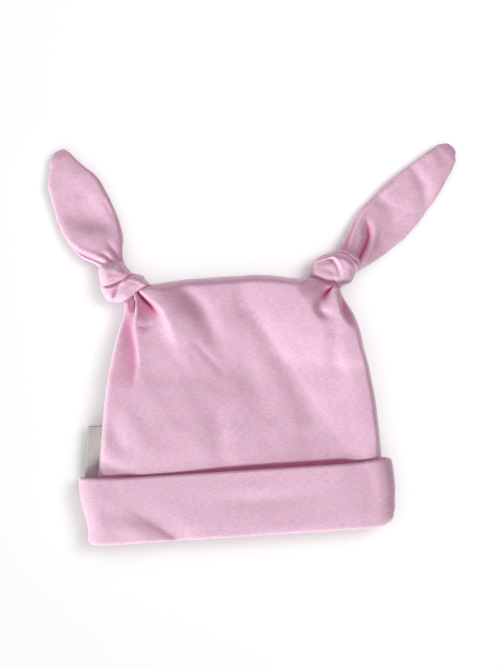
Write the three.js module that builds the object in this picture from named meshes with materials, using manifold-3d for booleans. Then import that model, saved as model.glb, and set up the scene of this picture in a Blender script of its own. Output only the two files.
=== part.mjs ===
// A baby's jersey hat with two knotted ears and a turned-up cuff, lying flat on its back.
// Millimetres, +Z up. X runs across the hat, Y from the cuff to the ears, and Z = 0 is the
// surface that it lies on. Each shape is worked out with Y = 0 at the brim fold and X = 0 at
// the middle of the cuff, and the last lines move the hat so that its footprint is centred.
import * as THREE from 'three';
import { mergeVertices } from 'three/addons/utils/BufferGeometryUtils.js';
import Module from 'manifold-3d';

const wasm = await Module();
wasm.setup();

// Crown
const HAT_HEIGHT = 143; // brim fold to top seam
const CROWN_WIDTH = 158; // at the cuff's upper edge
const CROWN_LOFT = 18.5; // height of its front above the surface, where it is fullest
const WALL = 1.6; // two layers of jersey
const SEAM_LEVEL = 5; // height of the side seams above the cuff
const TOP_SEAM_LEVEL = 3.4;
const SEAM_HALF = 1.7; // what the crown's edge measures above and below its seam
const CROWN_FLAT = 0.84; // share of its width between its rounded sides
const CROWN_FLAT_TOP = 0.8; // share of its height below the rounded top
const CROWN_CROWNING = 0.1; // how much lower its front lies towards the sides
const HOLLOW_HAIR = 0.15; // half the room left in the hollow where its faces meet

// Cuff
const CUFF_OVERHANG = 8; // how much wider it is than the crown, at each side
const CUFF_WIDTH = CROWN_WIDTH + 2 * CUFF_OVERHANG;
const CUFF_HEIGHT = 36.5;
const CUFF_LOFT = 19.5; // height of its front at the brim fold
const CUFF_STANDOFF = 1.6; // how much higher its upper edge lies
const CUFF_BACK_RISE = 2.4; // how much further up its back reaches
const CUFF_TOP = CUFF_HEIGHT + CUFF_BACK_RISE;
const CUFF_MOUTH = 1.8; // the shadow gap between that edge and the crown's front
const CUFF_WALL = 2.6; // a folded double layer
const BRIM_DEPTH = 2.2; // the brim fold, measured along Y
const CLOTH_GAP = 0.65; // between the cuff and the crown inside it
const CUFF_RELEASE = 14; // how far above the cuff the crown has taken its own shape
const CUFF_FLAT = 0.82; // share of its width between its rounded ends
const CUFF_CROWNING = 0.05; // how much lower its front lies towards the ends

// Necks of the crown, and the knots and ears that they run into
const NECK_WIDTH = 12.4;
const NECK_THICKNESS = 8.4;
const NECK_REACH = 24; // how far from its end a neck shapes the crown
const SEAM_SHARE = 0.8; // what the top seam takes of the crown's upper end, the necks the rest
const KNOT_LENGTH = 23;
const KNOT_WIDTH = 19;
const KNOT_HEIGHT = 15.6;
const KNOT_LEVEL = 8.3; // height of the knots' middles
const KNOT_FIT = 0.5; // room round a neck or an ear inside its knot
const PAD_FULLNESS = 0.7; // below 1 the knots' wraps are fuller than an ellipsoid
const EAR_BASE_WIDTH = 12.4;
const EAR_BASE_THICKNESS = 7.2;
const EAR_THICKNESS = 7;
const LEFT_EAR_LENGTH = 74.8; // from inside its knot to its tip
const RIGHT_EAR_LENGTH = 90.4;
const EAR_WIDTH = 31;
const EAR_RIM = 0.95; // half the height of its edge
const EAR_SEAM = 0.32; // share of its thickness below its edge
const EAR_FLAT = 0.72; // share of its width between its rounded edges
const LIFTED_FLAT = 0.1; // the same inside the knot
const LIFT_FROM = 0.3; // share of its length at which it comes down to the surface
const LIFT_TO = 0.04; // and at which it is level with its knot

// Label
const LABEL_REACH = 6.5; // how far it stands out of the side seam
const LABEL_THICKNESS = 1.6; // a ribbon folded on itself
const LABEL_LAYER = 0.6;
const LABEL_TOP = 64.8; // its upper end, above the brim fold
const LABEL_TUCK = 1; // how far its foot goes into the cuff
const LABEL_GAP = 0.4;

const END_FALL = 1.5; // how much faster a fold fades beyond its ends than beside its line
const SLOPE_STEP = 0.01; // the step, in shares, over which a direction is measured

const JERSEY_PINK = 0xe6bcd6;
const RIBBON_GREY = 0xcfc9c1;

// The crown's outline. rise is a share of the hat's height; left and right are shares of half
// the crown's width. The first row lies above the brim, where the cuff gives the width.
const CROWN_SIDES = [
  { rise: 0.14, left: 1.0, right: 1.012 },
  { rise: 0.26, left: 0.97, right: 1.012 },
  { rise: 0.42, left: 0.925, right: 1.005 },
  { rise: 0.56, left: 0.887, right: 0.981 },
  { rise: 0.7, left: 0.829, right: 0.937 },
  { rise: 0.81, left: 0.765, right: 0.893 },
  { rise: 0.89, left: 0.712, right: 0.818 },
];

// The top seam between the necks: side and rise as above, side being negative to the left.
const TOP_SEAM = [
  { side: -0.51, rise: 0.987 },
  { side: -0.34, rise: 0.997 },
  { side: -0.13, rise: 1.0 },
  { side: 0.1, rise: 1.0 },
  { side: 0.28, rise: 0.997 },
  { side: 0.45, rise: 0.981 },
  { side: 0.57, rise: 0.972 },
];

// Where each neck ends inside its knot, and the way that it points, in degrees from +X.
const LEFT_NECK = { side: -0.65, rise: 0.964, angle: 125 };
const RIGHT_NECK = { side: 0.709, rise: 0.969, angle: 68 };

// How full the crown's front is: level is a share of the crown's loft.
const CROWN_FULLNESS = [
  { rise: 0.3, level: 0.97 },
  { rise: 0.46, level: 1.0 },
  { rise: 0.66, level: 0.96 },
  { rise: 0.82, level: 0.84 },
  { rise: 0.93, level: 0.7 },
  { rise: 1.0, level: 0.58 },
];

// Folds of the crown's front, each along a bowed line. from and to are its ends, as [side, rise];
// bow is how far its middle swings to the left, as a share of its length; wide, at the two ends,
// is a share of half the crown's width, and lift, negative in a valley, of the crown's loft.
const CROWN_FOLDS = [
  { from: [-0.63, 0.93], to: [-0.67, 0.6], bow: -0.04, wide: [0.05, 0.06], lift: [0.1, 0.07] },
  { from: [-0.67, 0.9], to: [-0.74, 0.58], bow: 0.03, wide: [0.05, 0.06], lift: [-0.22, -0.12] },
  { from: [-0.58, 0.92], to: [-0.5, 0.78], bow: 0.0, wide: [0.06, 0.09], lift: [-0.2, -0.06] },
  { from: [-0.54, 0.95], to: [-0.26, 0.78], bow: 0.05, wide: [0.06, 0.09], lift: [0.12, 0.06] },
  { from: [-0.36, 0.96], to: [-0.06, 0.7], bow: -0.05, wide: [0.1, 0.14], lift: [-0.14, -0.15] },
  { from: [0.14, 0.9], to: [0.56, 0.36], bow: 0.04, wide: [0.12, 0.16], lift: [-0.07, -0.08] },
  { from: [0.28, 0.92], to: [0.56, 0.54], bow: -0.04, wide: [0.14, 0.12], lift: [0.06, 0.06] },
  { from: [0.75, 0.93], to: [0.63, 0.82], bow: -0.05, wide: [0.05, 0.09], lift: [-0.24, -0.1] },
  { from: [0.8, 0.9], to: [0.87, 0.78], bow: -0.04, wide: [0.04, 0.06], lift: [-0.14, -0.08] },
  { from: [0.66, 0.74], to: [0.64, 0.56], bow: 0.0, wide: [0.1, 0.12], lift: [-0.06, -0.05] },
  { from: [-0.92, 0.34], to: [-0.66, 0.27], bow: 0.0, wide: [0.08, 0.1], lift: [-0.12, -0.05] },
];

// The cuff's two ends: left and right are shares of half its width, rise of its height.
const CUFF_ENDS = [
  { rise: 0.0, left: 0.95, right: 0.9 },
  { rise: 0.06, left: 0.966, right: 0.944 },
  { rise: 0.2, left: 0.964, right: 0.975 },
  { rise: 0.4, left: 0.975, right: 0.986 },
  { rise: 0.7, left: 1.0, right: 0.992 },
  { rise: 1.0, left: 1.0, right: 0.98 },
];

// Dents of the cuff's front, as for the crown's folds, with shares of the cuff's own sizes.
const CUFF_DENTS = [
  { from: [-0.78, 0.5], to: [-0.46, 0.1], bow: 0.05, wide: [0.13, 0.1], lift: [-0.06, -0.09] },
  { from: [0.3, 0.2], to: [0.6, 0.14], bow: 0.0, wide: [0.1, 0.1], lift: [-0.04, -0.04] },
  { from: [-0.2, 0.55], to: [0.1, 0.2], bow: 0.0, wide: [0.12, 0.12], lift: [-0.03, -0.04] },
];

// The two ears. side and rise place an ear's base as on the crown, inside its knot. along is a
// share of the ear's length from there, left and right, seen from the base, are shares of its
// width, and level is a share of its thickness. Its folds follow the crown's columns, with
// along for rise and a share of the ear's width for side.
const LEFT_EAR = {
  name: 'ear_left',
  length: LEFT_EAR_LENGTH,
  side: -0.753,
  rise: 1.042,
  angle: 110.8,
  outline: [
    { along: 0.1, left: 0.25, right: 0.24, level: 1.1 },
    { along: 0.2, left: 0.44, right: 0.355, level: 1.3 },
    { along: 0.3, left: 0.54, right: 0.415, level: 1.4 },
    { along: 0.42, left: 0.583, right: 0.44, level: 1.02 },
    { along: 0.6, left: 0.548, right: 0.43, level: 0.97 },
    { along: 0.72, left: 0.505, right: 0.385, level: 0.92 },
    { along: 0.8, left: 0.454, right: 0.285, level: 0.86 },
    { along: 0.9, left: 0.3, right: 0.175, level: 0.76 },
    { along: 0.97, left: 0.19, right: 0.1, level: 0.65 },
  ],
  folds: [
    { from: [-0.5, 0.34], to: [0.42, 0.3], bow: 0.05, wide: [0.15, 0.1], lift: [-0.24, -0.24] },
    { from: [-0.3, 0.56], to: [0.1, 0.44], bow: 0.0, wide: [0.2, 0.16], lift: [-0.16, -0.1] },
    { from: [0.08, 0.1], to: [0.26, 0.24], bow: 0.0, wide: [0.1, 0.1], lift: [-0.22, -0.08] },
  ],
};
const RIGHT_EAR = {
  name: 'ear_right',
  length: RIGHT_EAR_LENGTH,
  side: 0.825,
  rise: 1.008,
  angle: 43.9,
  outline: [
    { along: 0.1, left: 0.277, right: 0.31, level: 1.05 },
    { along: 0.18, left: 0.34, right: 0.375, level: 1.05 },
    { along: 0.3, left: 0.428, right: 0.442, level: 1.0 },
    { along: 0.45, left: 0.428, right: 0.48, level: 0.98 },
    { along: 0.6, left: 0.407, right: 0.44, level: 0.95 },
    { along: 0.72, left: 0.345, right: 0.4, level: 0.9 },
    { along: 0.82, left: 0.288, right: 0.33, level: 0.84 },
    { along: 0.92, left: 0.222, right: 0.25, level: 0.74 },
    { along: 0.97, left: 0.155, right: 0.15, level: 0.65 },
  ],
  folds: [
    { from: [0.16, 0.09], to: [-0.04, 0.29], bow: -0.1, wide: [0.09, 0.12], lift: [-0.34, -0.14] },
    { from: [-0.04, 0.08], to: [-0.18, 0.28], bow: 0.0, wide: [0.14, 0.1], lift: [0.12, 0.08] },
    { from: [-0.24, 0.1], to: [-0.32, 0.5], bow: 0.0, wide: [0.06, 0.06], lift: [-0.2, -0.1] },
    { from: [-0.1, 0.72], to: [0.3, 0.62], bow: 0.1, wide: [0.12, 0.14], lift: [-0.14, -0.12] },
  ],
};

// The knots. side and rise place a knot's middle as on the crown, and turn is the way through it
// from the crown to the ear, in degrees from +X. Each wrap of its cloth is a pad inside a closed
// outline, whose points are [along, across]: shares of the knot's length that way and of its
// width to the left of it. high is a share of the knot's height.
const LEFT_KNOT = {
  name: 'knot_left',
  side: -0.716,
  rise: 1.005,
  turn: 125,
  wraps: [
    {
      high: 0.93, // round the foot of the ear
      outline: [
        [0.46, 0.4], [0.6, 0.25], [0.61, 0.03], [0.47, -0.3], [0.37, -0.38],
        [0.12, -0.38], [-0.1, -0.39], [-0.05, 0.01], [0.04, 0.38], [0.21, 0.53],
      ],
    },
    {
      high: 0.88, // the lobe below it on the left
      outline: [
        [0.21, 0.57], [0.21, 0.36], [0.09, 0.04], [-0.05, -0.03],
        [-0.16, 0.25], [-0.28, 0.48], [-0.19, 0.64], [0.04, 0.65],
      ],
    },
    {
      high: 1.0, // out of the crown and under
      outline: [
        [0.05, -0.01], [-0.01, -0.38], [-0.19, -0.58], [-0.49, -0.57], [-0.43, -0.25],
        [-0.45, 0.17], [-0.34, 0.44], [-0.24, 0.54], [-0.06, 0.23],
      ],
    },
  ],
};
const RIGHT_KNOT = {
  name: 'knot_right',
  side: 0.7785,
  rise: 1.004,
  turn: 42,
  wraps: [
    {
      high: 0.85, // the pad in the middle
      outline: [
        [-0.59, 0.38], [-0.37, 0.55], [-0.17, 0.52], [0.09, 0.32], [0.15, 0.01],
        [0.01, -0.33], [-0.23, -0.35], [-0.42, -0.13], [-0.52, 0.16],
      ],
    },
    {
      high: 0.87, // the roll above it
      outline: [
        [-0.35, 0.56], [-0.15, 0.59], [0.09, 0.48], [0.38, 0.31],
        [0.34, 0.18], [0.07, 0.21], [-0.2, 0.36],
      ],
    },
    {
      high: 0.82, // the strip round the foot of the ear
      outline: [
        [0.25, 0.35], [0.46, 0.22], [0.55, -0.05], [0.55, -0.35],
        [0.38, -0.51], [0.29, -0.32], [0.25, 0.06],
      ],
    },
    {
      high: 1.0, // the broad wrap over the front
      outline: [
        [0.05, 0.4], [0.26, 0.31], [0.42, 0.05], [0.45, -0.32], [0.27, -0.51],
        [0.01, -0.61], [-0.23, -0.46], [-0.1, -0.21], [0.02, 0.1],
      ],
    },
  ],
};

// How finely the surfaces are cut
const CROWN_COLUMNS = 28;
const CROWN_ROWS = 18;
const HOLLOW_ROWS = 9;
const CUFF_ROWS = 4;
const EAR_COLUMNS = 12;
const EAR_ROWS = 15;
const PAD_SIDES = 24;
const PAD_RINGS = 5;

const clamp01 = (t) => Math.min(1, Math.max(0, t));
const mix = THREE.MathUtils.lerp;
const smooth = (low, high, t) => THREE.MathUtils.smoothstep(t, low, high);
const direction = (degrees) => {
  const turn = THREE.MathUtils.degToRad(degrees);
  return new THREE.Vector2(Math.cos(turn), Math.sin(turn));
};
const leftOf = (vector) => new THREE.Vector2(-vector.y, vector.x);

// A smooth curve through one column of a table, read at a value of another column.
function readTable(table, key, value, at) {
  let row = 0;
  while (row < table.length - 2 && at > table[row + 1][key]) {
    row += 1;
  }
  const slope = (index) => {
    const low = Math.max(0, index - 1);
    const high = Math.min(table.length - 1, index + 1);
    return (table[high][value] - table[low][value]) / (table[high][key] - table[low][key]);
  };
  const span = table[row + 1][key] - table[row][key];
  const t = clamp01((at - table[row][key]) / span);
  const eased = t * t * (3 - 2 * t);
  const start = table[row][value] + slope(row) * span * t;
  const end = table[row + 1][value] - slope(row + 1) * span * (1 - t);
  return mix(start, end, eased);
}

// The height that a table of folds adds at a point given in the table's own shares. stretch
// is the length of one unit of rise over the length of one unit of side.
function foldHeight(folds, side, rise, stretch) {
  let height = 0;
  for (const fold of folds) {
    const [side0, rise0] = fold.from;
    const [side1, rise1] = fold.to;
    const run = new THREE.Vector2(side1 - side0, (rise1 - rise0) * stretch);
    const length = run.length();
    run.divideScalar(length);
    const offset = new THREE.Vector2(side - side0, (rise - rise0) * stretch);
    const along = offset.dot(run) / length;
    const t = clamp01(along);
    const bowed = offset.dot(leftOf(run)) - fold.bow * length * 4 * t * (1 - t);
    const beyond = Math.max(0, -along, along - 1) * length;
    const distance = Math.hypot(bowed, beyond * END_FALL) / mix(...fold.wide, t);
    height += mix(...fold.lift, t) * Math.exp(-distance * distance);
  }
  return height;
}

// A rounded edge: 1 up to the share that stays flat, falling along an arc to 0 at 1.
function roundedEdge(share, flat) {
  const over = clamp01((Math.abs(share) - flat) / (1 - flat));
  return Math.sqrt(1 - over * over);
}

// Positions across a sheet, from -1 to 1, closer together towards the edges.
function acrossSheet(columns) {
  const crowding = 0.55;
  const places = [];
  for (let column = 0; column <= columns; column += 1) {
    const t = column / columns;
    places.push(mix(2 * t - 1, -Math.cos(Math.PI * t), crowding));
  }
  return places;
}

// A loop round a flat sack: its front from left to right, then its back from right to left.
function sackLoop(columns, point) {
  const places = acrossSheet(columns);
  const front = places.map((u) => point(u, 'front'));
  const back = places.map((u) => point(u, 'back')).reverse();
  return [...front, ...back];
}

function solidFrom(positions, triangles) {
  const geometry = new THREE.BufferGeometry();
  geometry.setAttribute('position', new THREE.Float32BufferAttribute(positions, 3));
  geometry.setIndex(triangles);
  return mergeVertices(geometry, 1e-4);
}

// Joins loops of equal length into one closed body. Each end is closed by a strip between the
// loop's front and back, or, where inner loops are given, the first outer and the first inner
// loop meet in a rim and the sack stays open there.
function sackSolid(outer, inner = null) {
  const positions = [];
  const triangles = [];
  const add = (loop) => {
    const first = positions.length / 3;
    loop.forEach((p) => positions.push(p.x, p.y, p.z));
    return first;
  };
  const size = outer[0].length;
  const join = (a, b, turned) => {
    for (let k = 0; k < size; k += 1) {
      const next = (k + 1) % size;
      const [p, q] = turned ? [next, k] : [k, next];
      triangles.push(a + p, a + q, b + q, a + p, b + q, b + p);
    }
  };
  const close = (a, turned) => {
    for (let k = 0; k < size / 2 - 1; k += 1) {
      const [p, q] = turned ? [k + 1, k] : [k, k + 1];
      const [r, s] = [size - 1 - p, size - 1 - q];
      triangles.push(a + p, a + q, a + s, a + p, a + s, a + r);
    }
  };
  const outerStarts = outer.map(add);
  outerStarts.slice(1).forEach((start, row) => join(outerStarts[row], start, false));
  close(outerStarts.at(-1), false);
  if (inner) {
    const innerStarts = inner.map(add);
    innerStarts.slice(1).forEach((start, row) => join(innerStarts[row], start, true));
    close(innerStarts.at(-1), true);
    join(outerStarts[0], innerStarts[0], true);
  } else {
    close(outerStarts[0], true);
  }
  return solidFrom(positions, triangles);
}

// Joins sections set round a closed loop, each a closed outline of equal length.
function ringSolid(sections) {
  const positions = [];
  const triangles = [];
  const size = sections[0].length;
  sections.flat().forEach((p) => positions.push(p.x, p.y, p.z));
  sections.forEach((section, at) => {
    const a = at * size;
    const b = ((at + 1) % sections.length) * size;
    section.forEach((point, k) => {
      const next = (k + 1) % size;
      triangles.push(a + k, b + k, b + next, a + k, b + next, a + next);
    });
  });
  return solidFrom(positions, triangles);
}

function toManifold(geometry) {
  const vertProperties = new Float32Array(geometry.attributes.position.array);
  const triVerts = new Uint32Array(geometry.index.array);
  return new wasm.Manifold(new wasm.Mesh({ numProp: 3, vertProperties, triVerts }));
}

function fromManifold(solid) {
  const mesh = solid.getMesh();
  return solidFrom(Array.from(mesh.vertProperties), Array.from(mesh.triVerts));
}

// Cuff
const cuffHalf = CUFF_WIDTH / 2;
const cuffLeft = (y) => -cuffHalf * readTable(CUFF_ENDS, 'rise', 'left', y / CUFF_HEIGHT);
const cuffRight = (y) => cuffHalf * readTable(CUFF_ENDS, 'rise', 'right', y / CUFF_HEIGHT);
const cuffFront = (y) => CUFF_LOFT + CUFF_STANDOFF * smooth(0.25, 1, y / CUFF_HEIGHT);
const cuffSeam = CUFF_LOFT / 2;

// The cuff's outer face round the hat at one height: a flat back, round ends, a full front.
function cuffPoint(u, face, y) {
  const x = mix(cuffLeft(y), cuffRight(y), (u + 1) / 2);
  const edge = roundedEdge(u, CUFF_FLAT);
  if (face === 'back') {
    return new THREE.Vector2(x, cuffSeam * (1 - edge));
  }
  const dents = foldHeight(CUFF_DENTS, x / cuffHalf, y / CUFF_HEIGHT, CUFF_HEIGHT / cuffHalf);
  const crest = cuffFront(y) * (1 - CUFF_CROWNING * u * u) + dents * CUFF_LOFT;
  return new THREE.Vector2(x, mix(cuffSeam, crest, edge));
}

// A point at some depth inwards from that face.
function insideCuff(u, face, y, depth) {
  const [low, high] = [Math.max(-1, u - SLOPE_STEP), Math.min(1, u + SLOPE_STEP)];
  const run = cuffPoint(high, face, y).sub(cuffPoint(low, face, y));
  if (Math.abs(u) === 1) {
    run.set(0, -u); // the two ends stand upright
  } else if (face === 'back') {
    run.negate();
  }
  return cuffPoint(u, face, y).addScaledVector(leftOf(run).negate().normalize(), depth);
}

// The heights at which the cuff's faces, and the crown inside it, are cut.
const cuffRows = [];
for (let row = 0; row <= CUFF_ROWS; row += 1) {
  cuffRows.push(mix(BRIM_DEPTH, CUFF_HEIGHT - CUFF_WALL * 0.5, (row / CUFF_ROWS) ** 1.3));
}

// The cuff's front ends at its height, its back further up.
function cuffRise(u, face, y) {
  const turned = 0.5 * smooth(0.7, 1, Math.abs(u));
  const share = face === 'front' ? turned : 1 - turned;
  return y + CUFF_BACK_RISE * share * (y / CUFF_HEIGHT) ** 2;
}

// The band's section: depth is measured inwards from its outer face, y up from the brim fold.
function cuffSection() {
  const rimDepth = CUFF_WALL + CLOTH_GAP + WALL;
  const ledge = BRIM_DEPTH * 0.85;
  return [
    { depth: CUFF_WALL / 2, y: CUFF_HEIGHT },
    ...cuffRows.slice(1).reverse().map((y) => ({ depth: CUFF_WALL, y })),
    { depth: CUFF_WALL, y: ledge },
    { depth: rimDepth, y: ledge },
    { depth: rimDepth * 0.8, y: BRIM_DEPTH * 0.25 },
    { depth: rimDepth * 0.5, y: 0 },
    { depth: rimDepth * 0.2, y: BRIM_DEPTH * 0.25 },
    ...cuffRows.map((y) => ({ depth: 0, y })),
  ];
}

function cuffGeometry() {
  const places = acrossSheet(CROWN_COLUMNS);
  const stations = [
    ...places.map((u) => ({ u, face: 'front' })),
    ...places.slice(1, -1).reverse().map((u) => ({ u, face: 'back' })),
  ];
  return ringSolid(stations.map(({ u, face }) => cuffSection().map(({ depth, y }) => {
    const p = insideCuff(u, face, y, depth);
    return new THREE.Vector3(p.x, cuffRise(u, face, y), p.y);
  })));
}

// Crown
const crownHalf = CROWN_WIDTH / 2;
const crownPlace = ({ side, rise }) => new THREE.Vector2(side * crownHalf, rise * HAT_HEIGHT);

// The crown's outline and faces. grow makes all of it that much larger, for the room that
// the knots leave round it.
function crownShape(grow) {
  const neckEnd = (neck, outer) => {
    const ahead = direction(neck.angle);
    const toRight = leftOf(ahead).negate();
    const sideways = (NECK_WIDTH / 2 + grow) * outer;
    return crownPlace(neck).addScaledVector(ahead, grow).addScaledVector(toRight, sideways);
  };
  const rimDepth = CUFF_WALL + CLOTH_GAP - grow;
  // A side seam as a function of the level: even in the cuff, then spread up to the neck.
  const sideCurve = (key, way, neck) => {
    const corner = neckEnd(neck, way);
    const rim = insideCuff(way, 'front', BRIM_DEPTH, rimDepth);
    const table = [
      { y: BRIM_DEPTH, x: rim.x },
      ...CROWN_SIDES.map((row) => ({ y: row.rise * HAT_HEIGHT, x: way * (row[key] * crownHalf + grow) })),
      { y: corner.y, x: corner.x },
    ];
    return (level) => {
      const share = Math.max(0, (level - CUFF_TOP) / (HAT_HEIGHT - CUFF_TOP));
      const y = Math.min(level, mix(CUFF_TOP, corner.y, share));
      return new THREE.Vector2(readTable(table, 'y', 'x', y), y);
    };
  };
  const left = sideCurve('left', -1, LEFT_NECK);
  const right = sideCurve('right', 1, RIGHT_NECK);

  const seamPoints = TOP_SEAM.map(crownPlace);
  seamPoints.forEach((point) => point.setY(point.y + grow));
  const seam = new THREE.SplineCurve([neckEnd(LEFT_NECK, 1), ...seamPoints, neckEnd(RIGHT_NECK, -1)]);
  const topRing = (u) => {
    const beyond = (Math.abs(u) - SEAM_SHARE) / (1 - SEAM_SHARE);
    if (u < -SEAM_SHARE) {
      return neckEnd(LEFT_NECK, 1).lerp(neckEnd(LEFT_NECK, -1), beyond);
    }
    if (u > SEAM_SHARE) {
      return neckEnd(RIGHT_NECK, -1).lerp(neckEnd(RIGHT_NECK, 1), beyond);
    }
    return seam.getPointAt((u / SEAM_SHARE + 1) / 2);
  };

  const plan = (u, level) => {
    const across = (u + 1) / 2;
    const bend = topRing(u).sub(left(HAT_HEIGHT).lerp(right(HAT_HEIGHT), across));
    return left(level).lerp(right(level), across).addScaledVector(bend, (level / HAT_HEIGHT) ** 4);
  };

  const nearNeck = (place) => {
    const reach = (neck) => 1 - place.distanceTo(crownPlace(neck)) / NECK_REACH;
    return smooth(0, 0.75, Math.max(reach(LEFT_NECK), reach(RIGHT_NECK)));
  };

  // Inside the cuff the crown follows the cuff's inner face, squeezed to its own width.
  const cuffedPoint = (u, face, place, level) => {
    const y = Math.min(place.y, CUFF_HEIGHT);
    const mouth = face === 'front' ? CUFF_MOUTH * smooth(0.2, 1, y / CUFF_HEIGHT) : 0;
    const p = insideCuff(u, face, y, rimDepth);
    const ends = [-1, 1].map((end) => insideCuff(end, face, y, rimDepth).x);
    const across = (p.x - ends[0]) / (ends[1] - ends[0]);
    const middle = mix(cuffSeam, p.y, 1 - mouth / CUFF_LOFT * 2);
    return new THREE.Vector3(mix(left(level).x, right(level).x, across), place.y, middle);
  };

  // Beyond the cuff it is a flat sack, whose two sheets part from a seam.
  const freePoint = (u, face, place, nearTop) => {
    const rise = place.y / HAT_HEIGHT;
    const neck = nearNeck(place);
    const seamLevel = mix(mix(SEAM_LEVEL, TOP_SEAM_LEVEL, smooth(0.8, 1, nearTop)), KNOT_LEVEL, neck);
    const half = mix(SEAM_HALF, NECK_THICKNESS / 2, neck);
    const edge = roundedEdge(u, CROWN_FLAT) * roundedEdge(nearTop, CROWN_FLAT_TOP);
    if (face === 'back') {
      return new THREE.Vector3(place.x, place.y, mix(seamLevel - half, 0, edge) - grow);
    }
    const level = readTable(CROWN_FULLNESS, 'rise', 'level', rise);
    const full = CROWN_LOFT * level * (1 - CROWN_CROWNING * u * u);
    const folds = foldHeight(CROWN_FOLDS, place.x / crownHalf, rise, HAT_HEIGHT / crownHalf);
    const crest = Math.max(full + folds * CROWN_LOFT, seamLevel + half);
    return new THREE.Vector3(place.x, place.y, mix(seamLevel + half, crest, edge) + grow);
  };

  return (u, level, face) => {
    const place = plan(u, level);
    const edge = cuffRise(u, face, CUFF_HEIGHT);
    const clear = smooth(edge, edge + CUFF_RELEASE, place.y);
    const free = freePoint(u, face, place, level / HAT_HEIGHT);
    return cuffedPoint(u, face, place, level).lerp(free, clear);
  };
}

// The crown's levels: those of the cuff's rows, and then even ones up to the top seam.
function crownLoops(rows, point) {
  const levels = [...cuffRows, CUFF_TOP];
  for (let row = 1; row <= rows; row += 1) {
    levels.push(mix(CUFF_TOP, HAT_HEIGHT, row / rows));
  }
  return levels.map((level) => sackLoop(CROWN_COLUMNS, (u, face) => point(u, level, face)));
}

// The face of the hollow: the outer one moved in by the wall, kept open by a hair at the seams.
function hollowFace(outer) {
  const sideInset = 1 - (WALL * 1.3) / crownHalf;
  return (u, level, face) => {
    const lower = level - WALL * 1.6 * smooth(CUFF_TOP, HAT_HEIGHT, level);
    const front = outer(u * sideInset, lower, 'front');
    const back = outer(u * sideInset, lower, 'back');
    const parted = Math.max(HOLLOW_HAIR, (front.z - back.z) / 2 - WALL);
    const middle = front.clone().lerp(back, 0.5);
    return middle.setZ(middle.z + (face === 'front' ? parted : -parted));
  };
}

function crownGeometry() {
  const outer = crownShape(0);
  return sackSolid(crownLoops(CROWN_ROWS, outer), crownLoops(HOLLOW_ROWS, hollowFace(outer)));
}

// Ears: padded leaves that start inside the knots and come down to the surface.
function earGeometry(ear, grow = 0) {
  const ahead = direction(ear.angle);
  const toLeft = leftOf(ahead);
  const base = crownPlace(ear);
  const half = EAR_BASE_WIDTH / EAR_WIDTH / 2;
  const outline = [
    { along: 0, left: half, right: half, level: EAR_BASE_THICKNESS / EAR_THICKNESS },
    ...ear.outline,
    { along: 1, left: 0.07, right: 0.05, level: 0.5 },
  ];
  const loops = [];
  for (let row = 0; row <= EAR_ROWS; row += 1) {
    const share = Math.sin((Math.PI / 2) * (row / EAR_ROWS)) * 0.35 + (row / EAR_ROWS) * 0.65;
    const reach = mix(-grow, ear.length + grow, share);
    const left = readTable(outline, 'along', 'left', share) * EAR_WIDTH + grow;
    const right = readTable(outline, 'along', 'right', share) * EAR_WIDTH + grow;
    const thickness = readTable(outline, 'along', 'level', share) * EAR_THICKNESS;
    const lifted = 1 - smooth(LIFT_TO, LIFT_FROM, share);
    const middle = mix(EAR_THICKNESS * EAR_SEAM, KNOT_LEVEL, lifted);
    loops.push(sackLoop(EAR_COLUMNS, (u, face) => {
      const sideways = u < 0 ? -u * left : -u * right;
      const place = base.clone().addScaledVector(ahead, reach).addScaledVector(toLeft, sideways);
      const edge = roundedEdge(u, mix(EAR_FLAT, LIFTED_FLAT, lifted));
      const folds = foldHeight(ear.folds, -sideways / EAR_WIDTH, share, ear.length / EAR_WIDTH);
      const crest = Math.max(thickness * (1 + folds), middle + EAR_RIM);
      const top = mix(crest, KNOT_LEVEL + thickness / 2, lifted);
      const bottom = mix(0, KNOT_LEVEL - thickness / 2, lifted);
      const z = face === 'front' ? mix(middle + EAR_RIM, top, edge) + grow
        : mix(Math.max(0, middle - EAR_RIM), bottom, edge) - grow;
      return new THREE.Vector3(place.x, place.y, z);
    }));
  }
  return sackSolid(loops);
}

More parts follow.
